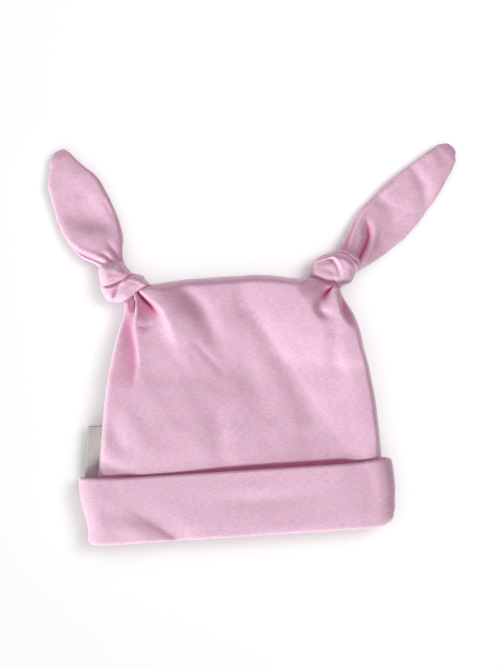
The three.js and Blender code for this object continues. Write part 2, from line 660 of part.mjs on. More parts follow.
// Knots: overlapping pads of cloth, hollowed for the neck and the ear. A pad is closed round its
// outline at the knots' level and rises, and falls, in rings towards its middle.
function padGeometry(knot, wrap) {
  const ahead = direction(knot.turn);
  const corners = wrap.outline.map(([along, across]) => crownPlace(knot)
    .addScaledVector(ahead, along * KNOT_LENGTH)
    .addScaledVector(leftOf(ahead), across * KNOT_WIDTH));
  const line = new THREE.CatmullRomCurve3(corners.map((p) => new THREE.Vector3(p.x, p.y, 0)), true);
  const outline = line.getSpacedPoints(PAD_SIDES).slice(0, PAD_SIDES);
  const middle = outline.reduce((sum, p) => sum.add(p), new THREE.Vector3()).divideScalar(PAD_SIDES);
  const positions = [];
  const triangles = [];
  // Ring 0 is the lower pole, PAD_RINGS the outline and 2 * PAD_RINGS the upper pole.
  for (let ring = 0; ring <= 2 * PAD_RINGS; ring += 1) {
    const turn = (ring / PAD_RINGS - 1) * (Math.PI / 2);
    const reach = Math.max(0, Math.cos(turn)) ** PAD_FULLNESS;
    const level = KNOT_LEVEL + (Math.sin(turn) * wrap.high * KNOT_HEIGHT) / 2;
    outline.forEach((p) => {
      const place = middle.clone().lerp(p, reach);
      positions.push(place.x, place.y, level);
    });
  }
  for (let ring = 0; ring < 2 * PAD_RINGS; ring += 1) {
    for (let side = 0; side < PAD_SIDES; side += 1) {
      const [a, b] = [ring * PAD_SIDES + side, ring * PAD_SIDES + ((side + 1) % PAD_SIDES)];
      const [c, d] = [b + PAD_SIDES, a + PAD_SIDES];
      if (ring > 0) {
        triangles.push(a, b, c);
      }
      if (ring < 2 * PAD_RINGS - 1) {
        triangles.push(a, c, d);
      }
    }
  }
  // The outlines run clockwise where their area is below zero.
  if (THREE.ShapeUtils.area(outline) < 0) {
    triangles.reverse();
  }
  return solidFrom(positions, triangles);
}

function knotGeometry(knot, ear, crownRoom) {
  const pads = knot.wraps.map((wrap) => toManifold(padGeometry(knot, wrap)));
  const whole = pads.reduce((a, b) => a.add(b));
  const parts = whole.subtract(crownRoom).subtract(toManifold(earGeometry(ear, KNOT_FIT))).decompose();
  // Slivers cut off beside the ear's foot are left out.
  return fromManifold(parts.sort((a, b) => b.volume() - a.volume())[0]);
}

// Label: a ribbon folded on itself, its fold outwards and its two ends at the side seam.
function labelGeometry(length) {
  const outline = new THREE.Shape();
  const half = LABEL_THICKNESS / 2;
  const slot = half - LABEL_LAYER;
  outline.moveTo(0, slot);
  outline.lineTo(0, half);
  outline.lineTo(LABEL_REACH - half, half);
  outline.absarc(LABEL_REACH - half, 0, half, Math.PI / 2, -Math.PI / 2, true);
  outline.lineTo(0, -half);
  outline.lineTo(0, -slot);
  outline.lineTo(LABEL_REACH - half, -slot);
  outline.absarc(LABEL_REACH - half, 0, slot, -Math.PI / 2, Math.PI / 2, false);
  outline.closePath();
  const geometry = new THREE.ExtrudeGeometry(outline, {
    depth: length,
    steps: 1,
    curveSegments: 4,
    bevelEnabled: false,
  });
  geometry.deleteAttribute('normal');
  geometry.deleteAttribute('uv');
  return mergeVertices(geometry, 1e-4);
}

// The left side seam at a height above the brim, where the label is sewn in.
function leftSeam(y) {
  const outer = crownShape(0);
  let [low, high] = [BRIM_DEPTH, HAT_HEIGHT];
  for (let step = 0; step < 30; step += 1) {
    const middle = (low + high) / 2;
    [low, high] = outer(-1, middle, 'front').y < y ? [middle, high] : [low, middle];
  }
  return outer(-1, low, 'front').lerp(outer(-1, low, 'back'), 0.5);
}

const jersey = new THREE.MeshStandardMaterial({ color: JERSEY_PINK, roughness: 0.95, metalness: 0 });
const ribbon = new THREE.MeshStandardMaterial({ color: RIBBON_GREY, roughness: 0.9, metalness: 0 });

function piece(name, geometry, material) {
  const mesh = new THREE.Mesh(geometry, material);
  mesh.name = name;
  return mesh;
}

const hat = new THREE.Group();
hat.add(piece('crown', crownGeometry(), jersey.clone()));
hat.add(piece('cuff', cuffGeometry(), jersey.clone()));

const crownRoom = toManifold(sackSolid(crownLoops(CROWN_ROWS, crownShape(KNOT_FIT))));
for (const [knot, ear] of [[LEFT_KNOT, LEFT_EAR], [RIGHT_KNOT, RIGHT_EAR]]) {
  hat.add(piece(knot.name, knotGeometry(knot, ear, crownRoom), jersey.clone()));
  hat.add(piece(ear.name, earGeometry(ear), jersey.clone()));
}

// The label's length runs down the seam, its width out of it.
const labelTop = leftSeam(LABEL_TOP);
const labelFoot = leftSeam(CUFF_HEIGHT - LABEL_TUCK);
const down = labelFoot.clone().sub(labelTop).normalize();
const outwards = new THREE.Vector3(-1, 0, 0).addScaledVector(down, down.x).normalize();
const label = piece('label', labelGeometry(labelTop.distanceTo(labelFoot)), ribbon);
label.quaternion.setFromRotationMatrix(
  new THREE.Matrix4().makeBasis(outwards, new THREE.Vector3().crossVectors(down, outwards), down),
);
label.position.copy(labelTop).addScaledVector(outwards, LABEL_GAP);
hat.add(label);

// The footprint's middle goes to the origin.
const footprint = new THREE.Box3().setFromObject(hat).getCenter(new THREE.Vector3());
hat.position.set(-footprint.x, -footprint.y, 0);

export default hat;
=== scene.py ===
"""The looks of a baby's jersey hat with knotted ears, lying flat on its back.

Shapes are worked out in millimetres, with x = 0 at the middle of the cuff and y = 0 at its brim
fold, and placed in the frame at the end. The outlines are those of the CAD source.
"""

import math

import bpy
import numpy as np
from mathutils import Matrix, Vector, noise


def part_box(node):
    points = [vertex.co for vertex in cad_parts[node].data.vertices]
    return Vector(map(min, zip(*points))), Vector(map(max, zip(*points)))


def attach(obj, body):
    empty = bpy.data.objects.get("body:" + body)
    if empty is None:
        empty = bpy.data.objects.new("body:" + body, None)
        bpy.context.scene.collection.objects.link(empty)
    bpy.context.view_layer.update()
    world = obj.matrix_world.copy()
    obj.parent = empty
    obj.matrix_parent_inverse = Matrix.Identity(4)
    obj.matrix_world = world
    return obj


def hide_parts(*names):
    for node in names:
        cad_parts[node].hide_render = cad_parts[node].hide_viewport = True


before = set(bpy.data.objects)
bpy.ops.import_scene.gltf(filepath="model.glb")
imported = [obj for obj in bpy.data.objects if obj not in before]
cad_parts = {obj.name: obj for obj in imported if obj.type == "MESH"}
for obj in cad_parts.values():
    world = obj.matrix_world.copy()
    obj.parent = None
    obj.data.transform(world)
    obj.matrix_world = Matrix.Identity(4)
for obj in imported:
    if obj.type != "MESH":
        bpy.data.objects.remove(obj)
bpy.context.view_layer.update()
MM = 0.001

# The hat's own sizes, as in the CAD source
HAT_HEIGHT = 143.0
CROWN_HALF = 79.0
CROWN_LOFT = 18.5
WALL = 1.6
SEAM_LEVEL = 5.0
TOP_SEAM_LEVEL = 3.4
CUFF_HALF = 87.0
CUFF_HEIGHT = 36.5
CUFF_LOFT = 18.7
CUFF_STANDOFF = 1.6
CUFF_BACK_RISE = 2.4
CUFF_TOP = CUFF_HEIGHT + CUFF_BACK_RISE
CUFF_MOUTH = 1.8
CUFF_WALL = 2.6
BRIM_DEPTH = 2.2
CLOTH_GAP = 0.65
# how far above the cuff the crown leaves the cuff's section, and has its own fullness again
CUFF_RELEASE = 14.0
LIP_CLIMB = 17.0
# the crown's drop below the cuff's edge and how far from the edge it comes up: where the edge lies
# close, and how much more where it stands off
LIP_DROP = (1.5, 0.6)
LIP_REACH = (1.8, 2.6)
# how much loft the crown loses towards its sides, left and right
CROWN_CROWNING = (0.15, 0.1)
CUFF_CROWNING = (0.05, 0.03)
# edges: the share of the half width that stays flat, and how full the rounding beyond it is
CUFF_EDGE = (0.86, 2.4)
CROWN_SIDE_EDGE = (0.95, 2.5)
CROWN_TOP_EDGE = (0.965, 2.4)
EAR_ROUND_EDGE = (0.0, 2.3)
EAR_FLAT_EDGE = (0.78, 2.6)
EAR_END_EDGE = (0.93, 2.2)
EAR_TIP_FROM = 0.965
# random swells of the cloth: height and size in millimetres, and a seed
CROWN_SWELLS = [(0.35, 26, 3.1), (0.16, 9, 7.7)]
EAR_SWELLS = [(0.3, 15, 1.7), (0.12, 6, 4.4)]
KNOT_SWELLS = [(0.08, 5, 2.3), (0.03, 2.4, 6.1)]
# where the cuff's upper edge stands off the crown: it starts, is full, begins to end and ends
MOUTH_RIGHT = (-40, 12, 55, 66)
MOUTH_LEFT = (-67, -62, -58, -50)
MOUTH_LEFT_SHARE = 0.3
# how deep a crease is, in millimetres, where its painted shade is darkest, and how dark the painted
# shadow of the cuff's edge is, on the crown behind and just above it, as a share of that
CROWN_SHADE_DEPTH = 3.2
EAR_SHADE_DEPTH = 2.6
KNOT_SHADE_DEPTH = 1.7
CUFF_EDGE_SHADOW = 0.72
# how many columns to each side the lining looks for the lowest part of the face over it
LINING_REACH = 4
# half the least height of the hollow in the crown
LEAST_HOLLOW = 0.15
NECK_WIDTH = 12.4
NECK_THICKNESS = 8.4
NECK_REACH = 24.0
NECK_TOP = 12.5
NECK_PULL_REACH = 17.0
GATHER_HEIGHT = 0.04
SEAM_SHARE = 0.8
KNOT_LEVEL = 8.3
EAR_WIDTH = 31.0
EAR_THICKNESS = 7.0
EAR_BASE_WIDTH = 12.4
EAR_BASE_THICKNESS = 7.2

# the way from the hat's own middle to the frame's, by the cuff's left end and brim
cuff_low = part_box("cuff")[0]
SHIFT = np.array([cuff_low[0] / MM + CUFF_HALF, cuff_low[1] / MM, 0.0])

# rise, left, right: shares of the hat's height and of half the crown's width
CROWN_SIDES = [
    (0.14, 1.0, 1.012),
    (0.26, 0.97, 1.012),
    (0.42, 0.925, 1.005),
    (0.56, 0.887, 0.981),
    (0.7, 0.829, 0.937),
    (0.81, 0.765, 0.893),
    (0.89, 0.712, 0.818),
]
# side, rise
TOP_SEAM = [
    (-0.51, 0.987),
    (-0.34, 0.997),
    (-0.13, 1.0),
    (0.1, 1.0),
    (0.28, 0.997),
    (0.45, 0.981),
    (0.57, 0.972),
]
# side, rise, angle in degrees
LEFT_NECK = (-0.65, 0.964, 125)
RIGHT_NECK = (0.709, 0.969, 68)
# rise, share of the loft
CROWN_FULLNESS = [
    (0.26, 1.0),
    (0.36, 1.085),
    (0.46, 1.115),
    (0.64, 1.09),
    (0.8, 1.04),
    (0.93, 1.0),
    (1.0, 0.98),
]
# rise, left, right: shares of the cuff's height and half its width
CUFF_ENDS = [
    (0.0, 0.95, 0.9),
    (0.06, 0.966, 0.944),
    (0.2, 0.964, 0.975),
    (0.4, 0.975, 0.986),
    (0.7, 1.0, 0.992),
    (1.0, 1.0, 0.98),
]

# Folds, in millimetres. Each has its shape, the points of its line, its height at the line's
# start, middle and end, and in the same places its width. The widths of a skew or a hollow hold to
# the left of its line, seen along it, and its last number is the share of them that holds to the
# right. A ramp rises from its line to the left. Creases and slits are narrow, and in them and in the
# hollows the cloth's colour is darkened and deepened: painted shade.
CROWN_FOLDS = [
    # the left corner: a groove between the side and a sharp ridge
    ("hollow", [(-50.2, 127), (-51.9, 120), (-51.5, 112), (-51.2, 102), (-52.6, 93), (-56, 84)],
     (-1.6, -2.7, -0.3),
     (0.9, 1.0, 2.4), 6.5),
    ("skew", [(-48.8, 135), (-48.6, 127), (-50.3, 120), (-50.2, 112), (-49.7, 102), (-51, 92)],
     (1.5, 1.2, 0.1),
     (4.5, 5, 6), 0.2),
    ("slit", [(-52, 136.4), (-50.4, 134), (-50, 130), (-50.7, 126.4)],
     (-2.6, -2.8, -0.4), (0.45, 0.5, 0.6)),
    ("soft", [(-53.8, 132.5), (-53.3, 128), (-53.2, 124.5)], (1.0, 1.2, 0.4), (1.3, 1.5, 1.7)),
    ("soft", [(-49.4, 136), (-48.4, 131.2), (-48.7, 126), (-50.6, 120)],
     (1.0, 1.5, 0.6), (0.9, 1.0, 1.4)),
    ("slit", [(-48.8, 138.8), (-47.4, 136.4), (-45.8, 134.3), (-43.6, 132), (-41, 129.6), (-36.8, 125)],
     (-4.2, -5.0, -0.6), (0.7, 0.95, 1.5)),
    ("hollow", [(-43.4, 131), (-40, 127.6), (-36.2, 124)], (-0.7, -1.6, -0.5), (1.3, 1.5, 2.0), 2.0),
    ("slit", [(-49.6, 138.2), (-46, 138.9), (-43, 139.8), (-40, 140.8)],
     (-2.4, -2.6, -1.0), (0.5, 0.5, 0.5)),
    ("crease", [(-49.4, 119.4), (-46.5, 118.2), (-43.5, 118.2), (-40.5, 120)],
     (-0.2, -0.5, -0.1), (1.4, 1.6, 1.4)),
    ("skew", [(-48.8, 139.2), (-46.6, 135.4), (-44.2, 132), (-41.5, 129.2), (-36.5, 124.4)],
     (-1.0, -1.8, -1.2),
     (1.2, 1.3, 1.8), 2.4),
    ("hollow", [(-46.5, 131), (-44.5, 126), (-43.5, 120.5)], (-0.8, -1.3, -0.7), (2.6, 3.4, 3.6), 1.0),
    ("skew", [(-44, 138), (-38, 132), (-32.5, 124.5), (-28.5, 115), (-26, 105)],
     (1.6, 3.9, 0.6), (9, 12.5, 12),
     0.36),
    ("soft", [(-27, 140), (-17, 130), (-9.5, 117), (-4, 104)], (-0.8, -1.9, -0.5), (4, 5, 6)),
    ("crease", [(-19, 109), (-12, 100), (-3, 89)], (-0.15, -0.5, -0.1), (1.3, 1.3, 1.6)),
    # the broad fullness on the right, flat to the left of a soft line
    ("ramp", [(-40, 126), (-45, 100), (-48, 70), (-50, 42)], (-1.8, -3.4, -1.2), (55, 62, 66)),
    ("ramp", [(8, 136), (14, 121), (23, 106), (33, 90), (43, 72), (54, 52)],
     (2.6, 4.6, 1.8), (27, 28, 24)),
    ("soft", [(10, 134), (16, 120), (23, 106), (31, 91), (39, 74), (48, 58)],
     (-0.4, -1.0, -0.5), (5, 5.5, 6)),
    ("soft", [(58, 106), (58, 94), (60, 82)], (-0.5, -1.1, -0.3), (4, 5, 5)),
    ("skew", [(73, 108), (75.6, 90), (77, 66), (77.5, 36)], (0.5, 1.6, 1.6), (3, 3, 3), 6),
    ("soft", [(-8, 72), (-8, 57), (-8.5, 42)], (-0.4, -1.0, -1.0), (5, 6, 6)),
    ("soft", [(-42, 98), (-36, 84)], (-0.3, -0.7, -0.3), (7, 8, 8)),
    ("soft", [(40, 72), (41, 58), (39, 44)], (-0.4, -0.6, -0.3), (5, 6, 6)),
    ("soft", [(2, 96), (12, 82), (16, 66)], (-0.2, -0.5, -0.2), (6, 7, 7)),
    ("soft", [(8, 128), (12, 120)], (-0.4, -0.6, -0.2), (4, 5, 5)),
    # the right corner: a deep tuck under the knot, and a fold that falls to the side
    ("slit", [(59, 133.6), (57.4, 132.1), (55.6, 130.5), (52.2, 127)],
     (-4.2, -5.9, -0.8), (0.8, 1.5, 2.2)),
    ("slit", [(46.4, 139.2), (50, 139.1), (54, 137.4), (57, 136.2), (60.6, 136.1)],
     (-2.4, -3.2, -3), (0.5, 0.6, 0.6)),
    ("soft", [(58.5, 132.4), (54.5, 129), (51.2, 125)], (-0.6, -1.5, -1.2), (1.4, 2.2, 2.6)),
    ("soft", [(51.4, 126), (50.8, 122), (53.4, 119), (57.5, 117.5)], (-0.8, -1.3, -0.4), (2.4, 2.4, 2.6)),
    ("slit", [(60.8, 136), (61.7, 134.8), (63.4, 132.9)], (-2.6, -2.8, -2.2), (0.4, 0.5, 0.5)),
    ("soft", [(59.5, 131), (60, 125)], (0.5, 0.6, 0.2), (2, 2.4, 3)),
    ("skew", [(68, 109), (64, 115.5), (61.6, 122), (61, 131.5)], (0.2, 1.1, 1.0), (5, 5, 4.5), 0.35),
    ("hollow", [(63.4, 127), (64, 121.5), (65.6, 116.8), (69.5, 111.5)],
     (-1.9, -2.8, -0.3), (3.4, 3.6, 3.6), 0.35),
    ("soft", [(56, 136.4), (48, 136), (38, 134)], (-0.7, -0.9, -0.2), (2.5, 3.5, 4.5)),
    # the side above the label
    ("soft", [(-74, 46), (-65, 41), (-55, 37.5)], (-1.2, -1.6, -0.8), (3, 3.4, 3)),
    ("soft", [(-66, 66), (-64, 58), (-60, 50)], (-0.5, -1.0, -0.3), (4, 4, 4)),
    ("soft", [(-58, 74), (-54, 62), (-48, 50)], (0.3, 0.7, 0.2), (5, 6, 6)),
]

# Dents of the cuff's front
CUFF_DENTS = [
    ("skew", [(-66, 25), (-53, 16), (-43.5, 9), (-33, 0.5)], (-0.1, -0.9, -1.5), (9, 8, 7), 0.42),
    ("soft", [(-72, 20), (-60, 10), (-52, 3)], (0.3, 0.8, 0.7), (6, 5.5, 5)),
    ("soft", [(-6, 21.5), (14, 20), (42, 21.5)], (-0.3, -0.75, -0.3), (4.5, 5, 5)),
    ("soft", [(-76, 20), (-66, 16), (-56, 13)], (-0.4, -0.8, -0.4), (5, 5, 5)),
    ("soft", [(8, 5), (30, 4), (50, 6)], (0.2, 0.4, 0.2), (3, 3, 3)),
    ("soft", [(-20, 26), (0, 26), (20, 25)], (0.1, 0.4, 0.2), (5, 5, 5)),
    ("soft", [(70, 34), (73, 20), (71, 6)], (-0.2, -0.35, -0.2), (4, 4, 4)),
]

# along, left, right, level: shares of the ear's length, width and thickness
LEFT_EAR = {
    "name": "ear_left",
    "base": (-0.753, 1.042),
    "angle": 110.8,
    "length": 74.8,
    "outline": [
        (0.1, 0.25, 0.24, 1.15),
        (0.2, 0.44, 0.355, 1.3),
        (0.29, 0.53, 0.41, 1.32),
        (0.38, 0.57, 0.435, 1.15),
        (0.47, 0.583, 0.44, 1.0),
        (0.6, 0.548, 0.43, 1.03),
        (0.72, 0.505, 0.385, 1.06),
        (0.8, 0.454, 0.285, 1.06),
        (0.9, 0.3, 0.175, 1.0),
        (0.97, 0.19, 0.1, 0.85),
    ],
    "folds": [
        # the puff beyond the knot falls away beyond its crest
        ("skew", [(-54, 169), (-66, 170), (-76, 171), (-86, 175)], (0.3, 0.55, 0.55), (6, 6, 6), 0.8),
        ("soft", [(-84, 186), (-76, 182), (-66, 178), (-57, 177)], (-0.5, -1.0, -0.2), (7, 7.5, 6)),
        ("soft", [(-82, 198), (-72, 192)], (-0.2, -0.4, -0.2), (6, 7, 6)),
        ("soft", [(-66, 196), (-62, 186)], (0.6, 0.9, 0.5), (6, 6, 6)),
        ("crease", [(-89, 170), (-83, 164.3), (-77, 160), (-70, 156.4), (-66, 154.5)],
         (-0.5, -1.3, -1.8), (0.9, 1.0, 1.0)),
        ("crease", [(-56.5, 155), (-59, 160), (-63, 166)], (-1.4, -1.0, -0.2), (0.9, 1.1, 1.6)),
        ("crease", [(-61, 154.5), (-63.5, 157.5), (-67, 160)], (-1.6, -1.2, -0.2), (0.8, 1.0, 1.3)),
        ("soft", [(-70, 158), (-66, 163)], (0.8, 0.6, 0.3), (3, 3.5, 4)),
        ("soft", [(-64, 189), (-61, 184), (-58.5, 178)], (-0.15, -0.3, -0.1), (1.2, 1.3, 1.2)),
        ("soft", [(-80, 207), (-72, 198)], (0.3, 0.4, 0.2), (6, 6, 6)),
    ],
}
RIGHT_EAR = {
    "name": "ear_right",
    "base": (0.825, 1.008),
    "angle": 43.9,
    "length": 90.4,
    "outline": [
        (0.1, 0.277, 0.31, 1.03),
        (0.18, 0.34, 0.375, 1.0),
        (0.3, 0.428, 0.442, 0.98),
        (0.45, 0.428, 0.48, 1.02),
        (0.6, 0.407, 0.44, 1.06),
        (0.72, 0.345, 0.4, 1.08),
        (0.82, 0.288, 0.33, 1.06),
        (0.92, 0.222, 0.25, 0.98),
        (0.97, 0.155, 0.15, 0.85),
    ],
    "folds": [
        ("crease", [(73.5, 146), (76.8, 151.5), (79.6, 157), (80.8, 163), (80, 170)],
         (-3.4, -3.6, -0.3), (1.2, 1.4, 1.6)),
        ("skew", [(69, 151), (72.8, 160), (77, 168.5), (82, 176)], (1.6, 2.2, 0.8), (2.0, 2.2, 2.2), 2.2),
        ("crease", [(66.9, 153.5), (71.4, 162.5), (76.2, 171.5), (81, 177.6)],
         (-1.0, -1.0, -0.7), (0.6, 0.6, 0.6)),
        ("crease", [(81, 177.6), (84.6, 181), (91, 186.4), (98, 191.6)],
         (-0.9, -0.8, -0.2), (0.8, 0.8, 0.9)),
        ("soft", [(84.6, 179), (92, 185), (99, 190)], (0.3, 0.5, 0.2), (1.2, 1.3, 1.2)),
        ("soft", [(82, 160), (87, 168), (93, 178)], (0.9, 1.2, 0.5), (4, 4.5, 4)),
        ("soft", [(105, 199), (110.5, 191), (113.5, 181), (112.5, 172)],
         (-0.4, -0.9, -0.3), (2.8, 3.2, 3.5)),
        ("soft", [(118, 202), (121, 192), (119, 182)], (0.2, 0.35, 0.1), (3.5, 4, 4)),
        ("soft", [(89, 181), (93, 176)], (-0.7, -0.7, -0.3), (4, 4, 4)),
        ("soft", [(100, 170), (95.5, 164.5), (89, 158)], (-0.3, -0.9, -0.3), (4, 4, 4)),
        ("soft", [(98, 178), (106, 182)], (0.5, 0.6, 0.4), (4.5, 5, 5)),
        ("soft", [(84, 152), (92, 158), (101, 168)], (0.4, 0.5, 0.3), (4, 4, 4)),
    ],
}


def smooth(low, high, at):
    """0 up to low and 1 from high on, with a soft change between them."""
    t = np.clip((np.asarray(at, float) - low) / (high - low), 0, 1)
    return t * t * (3 - 2 * t)


def mix(a, b, t):
    return a + (b - a) * t


def beside(*parts):
    """Arrays of one shape, joined along a new last axis."""
    return np.stack(parts, axis=-1)


def read_table(keys, values, at):
    """A smooth curve through a table's values, read at some values of its keys."""
    keys = np.asarray(keys, float)
    values = np.asarray(values, float)
    at = np.asarray(at, float)
    before = np.maximum(np.arange(len(keys)) - 1, 0)
    after = np.minimum(np.arange(len(keys)) + 1, len(keys) - 1)
    slopes = (values[after] - values[before]) / (keys[after] - keys[before])
    row = np.clip(np.searchsorted(keys, at, side="left") - 1, 0, len(keys) - 2)
    span = keys[row + 1] - keys[row]
    t = np.clip((at - keys[row]) / span, 0, 1)
    start = values[row] + slopes[row] * span * t
    end = values[row + 1] - slopes[row + 1] * span * (1 - t)
    return mix(start, end, t * t * (3 - 2 * t))


def read_column(table, column, at):
    """A table's column, read at some values of its first one."""
    table = np.asarray(table)
    return read_table(table[:, 0], table[:, column], at)


def spline(points, count):
    """Points along a smooth curve through the given ones, each at an even share of its row."""
    points = np.asarray(points, float)
    keys = np.linspace(0, 1, len(points))
    at = np.linspace(0, 1, count)
    return np.stack([read_table(keys, points[:, k], at) for k in range(points.shape[1])], axis=1)


def three_way(values, t):
    """A smooth run from the first value through the second, at the middle, to the third."""
    return read_table([0, 0.5, 1], values, t)


def fold_height(folds, x, y):
    """What the folds add to a sheet's height at the points x, y."""
    flat = np.stack([np.ravel(x), np.ravel(y)], axis=1)
    total = np.zeros(len(flat))
    for shape, points, heights, widths, *skew in folds:
        steps = 48
        line = spline(points, steps)
        run = np.gradient(line, axis=0)
        pace = np.linalg.norm(run, axis=1)
        run /= pace[:, None]
        offsets = flat[:, None, :] - line[None, :, :]
        nearest = np.argmin((offsets ** 2).sum(axis=2), axis=1)
        offset = offsets[np.arange(len(flat)), nearest]
        tangent = run[nearest]
        # from the nearest of the line's points on to the nearest place between two of them
        ahead = (offset * tangent).sum(axis=1) / pace[nearest]
        ahead = np.clip(ahead, np.where(nearest == 0, 0, -0.5), np.where(nearest == steps - 1, 0, 0.5))
        offset = offset - tangent * (ahead * pace[nearest])[:, None]
        side = tangent[:, 0] * offset[:, 1] - tangent[:, 1] * offset[:, 0]
        within = (nearest > 0) & (nearest < steps - 1)
        side = np.where(within, np.sign(side) * np.linalg.norm(offset, axis=1), side)
        t = (nearest + ahead) / (steps - 1)
        width = three_way(widths, t)
        if shape in ("skew", "hollow"):
            # a smooth change of width from one side of the line to the other
            turned = smooth(-0.35, 0.35, -side / width)
            width = width * mix(1, skew[0], turned)
        distance = np.sqrt((offset ** 2).sum(axis=1)) / width
        if shape == "ramp":
            # a slope that starts at the line and rises to its left, over the given width
            run_up = side / width
            profile = 0.6 * np.clip(run_up, 0, 1) + 0.4 * smooth(0, 1, run_up)
        elif shape == "slit":
            profile = np.exp(-(1.15 * distance) ** 1.5)
        elif shape == "crease":
            profile = np.exp(-1.3 * distance) - 0.28 * np.exp(-((distance - 2.6) / 1.3) ** 2)
        else:
            profile = np.exp(-distance ** 2)
        total += three_way(heights, t) * profile
    return total.reshape(np.shape(x))


def crease_shade_mask(folds, x, y, full):
    """How deep in a crease the points x, y lie, from 0 to 1 at a depth of full millimetres: the mask of
    the painted crease shade.
    """
    narrow = [fold for fold in folds if fold[0] in ("crease", "slit")]
    broad = [fold for fold in folds if fold[0] == "hollow"]
    depth = -fold_height(narrow, x, y) - 0.5 * fold_height(broad, x, y)
    return np.clip(depth / full, 0, 1)


def direction(degrees):
    turn = math.radians(degrees)
    return np.array([math.cos(turn), math.sin(turn)])


def to_left(vector):
    return np.array([-vector[1], vector[0]])


def crown_place(side, rise):
    return np.array([side * CROWN_HALF, rise * HAT_HEIGHT])


def rounded_edge(share, flat, power=2.0):
    """1 over the flat part and 0 at the edge. A higher power gives a fuller, tighter edge."""
    over = np.clip((np.abs(share) - flat) / (1 - flat), 0, 1)
    return np.maximum(0, 1 - over ** power) ** (1 / power)


def between(start, full, ending, end, x):
    return smooth(start, full, x) * (1 - smooth(ending, end, x))


def mouth_share(x):
    """How far the cuff's upper edge stands off the crown: furthest right of the middle."""
    return np.maximum(between(*MOUTH_RIGHT, x), MOUTH_LEFT_SHARE * between(*MOUTH_LEFT, x))


def across_sheet(columns, crowding):
    """Places from -1 to 1, closer together towards both ends."""
    t = np.linspace(0, 1, columns + 1)
    return mix(2 * t - 1, -np.cos(np.pi * t), crowding)


def spaced_by(density, low, high, count):
    """Values from low to high, closer together where the density is higher."""
    at = np.linspace(low, high, 2000)
    total = np.concatenate([[0], np.cumsum((density(at[1:]) + density(at[:-1])) / 2)])
    return np.interp(np.linspace(0, total[-1], count), total, at)


def corner_density(u):
    """How closely the crown's columns lie: closest below the knots and at the side seams."""
    corners = sum(np.exp(-((u - corner) / 0.17) ** 2) for corner in (-0.6, 0.68))
    return 0.6 + 2.3 * corners + 1.5 * smooth(0.93, 1, np.abs(u))


def upper_density(level):
    """How closely its rows lie: closest near the knots, at the top and just above the cuff."""
    edges = smooth(HAT_HEIGHT - 4, HAT_HEIGHT, level) + smooth(CUFF_TOP + 4, CUFF_TOP, level)
    return 0.6 + 1.7 * smooth(HAT_HEIGHT - 45, HAT_HEIGHT - 15, level) + edges


# Cuff
CUFF_SEAM = CUFF_LOFT / 2


def cuff_point(u, front, y):
    """The cuff's outer face: front is True or False for each point."""
    rise = y / CUFF_HEIGHT
    low = -CUFF_HALF * read_column(CUFF_ENDS, 1, rise)
    high = CUFF_HALF * read_column(CUFF_ENDS, 2, rise)
    x = mix(low, high, (u + 1) / 2)
    edge = rounded_edge(u, *CUFF_EDGE)
    standing = np.clip((rise - 0.2) / 0.8, 0, 1) ** 1.4
    loft = CUFF_LOFT * (1 - 0.035 * (1 - smooth(0, 10, y)))
    loft = loft + CUFF_STANDOFF * standing * (0.45 + 0.55 * mouth_share(x))
    crowning = np.where(u < 0, *CUFF_CROWNING) * u * u
    crest = loft * (1 - crowning) + fold_height(CUFF_DENTS, x, y)
    z = np.where(front, mix(CUFF_SEAM, crest, edge), CUFF_SEAM * (1 - edge))
    return beside(x, z)


def inside_cuff(u, front, y, depth):
    """Points at some depth inwards from the cuff's outer face."""
    step = 0.01
    low = np.maximum(-1, u - step)
    high = np.minimum(1, u + step)
    run = cuff_point(high, front, y) - cuff_point(low, front, y)
    run = np.where(front[..., None], run, -run)
    at_end = (np.abs(u) >= 1)[..., None]
    upright = beside(np.zeros_like(u), -np.sign(u))
    run = np.where(at_end, upright, run)
    inward = beside(run[..., 1], -run[..., 0])
    inward /= np.linalg.norm(inward, axis=-1)[..., None]
    return cuff_point(u, front, y) + inward * np.asarray(depth)[..., None]


def cuff_rise(u, front, y):
    """The cuff's upper edge is a little higher at the back, and turns between them at the ends."""
    turned = 0.5 * smooth(0.7, 1, np.abs(u))
    share = np.where(front, turned, 1 - turned)
    return y + CUFF_BACK_RISE * share * (y / CUFF_HEIGHT) ** 2


# Crown
def neck_end(neck, outer):
    """One end of a neck's width: the right one, seen along the neck, for 1, the left one for -1."""
    side, rise, angle = neck
    ahead = direction(angle)
    return crown_place(side, rise) - to_left(ahead) * (NECK_WIDTH / 2) * outer


def side_curve(column, way, neck, level):
    """A side seam at some levels: even in the cuff, then spread up to the neck."""
    corner = neck_end(neck, way)
    rim_depth = np.array([CUFF_WALL + CLOTH_GAP])
    rim = inside_cuff(np.array([float(way)]), np.array([True]), np.array([BRIM_DEPTH]), rim_depth)
    ys = [BRIM_DEPTH] + [row[0] * HAT_HEIGHT for row in CROWN_SIDES] + [corner[1]]
    xs = [rim[0, 0]] + [way * row[column] * CROWN_HALF for row in CROWN_SIDES] + [corner[0]]
    share = np.maximum(0, (level - CUFF_TOP) / (HAT_HEIGHT - CUFF_TOP))
    y = np.minimum(level, mix(CUFF_TOP, corner[1], share))
    return beside(read_table(ys, xs, y), y)


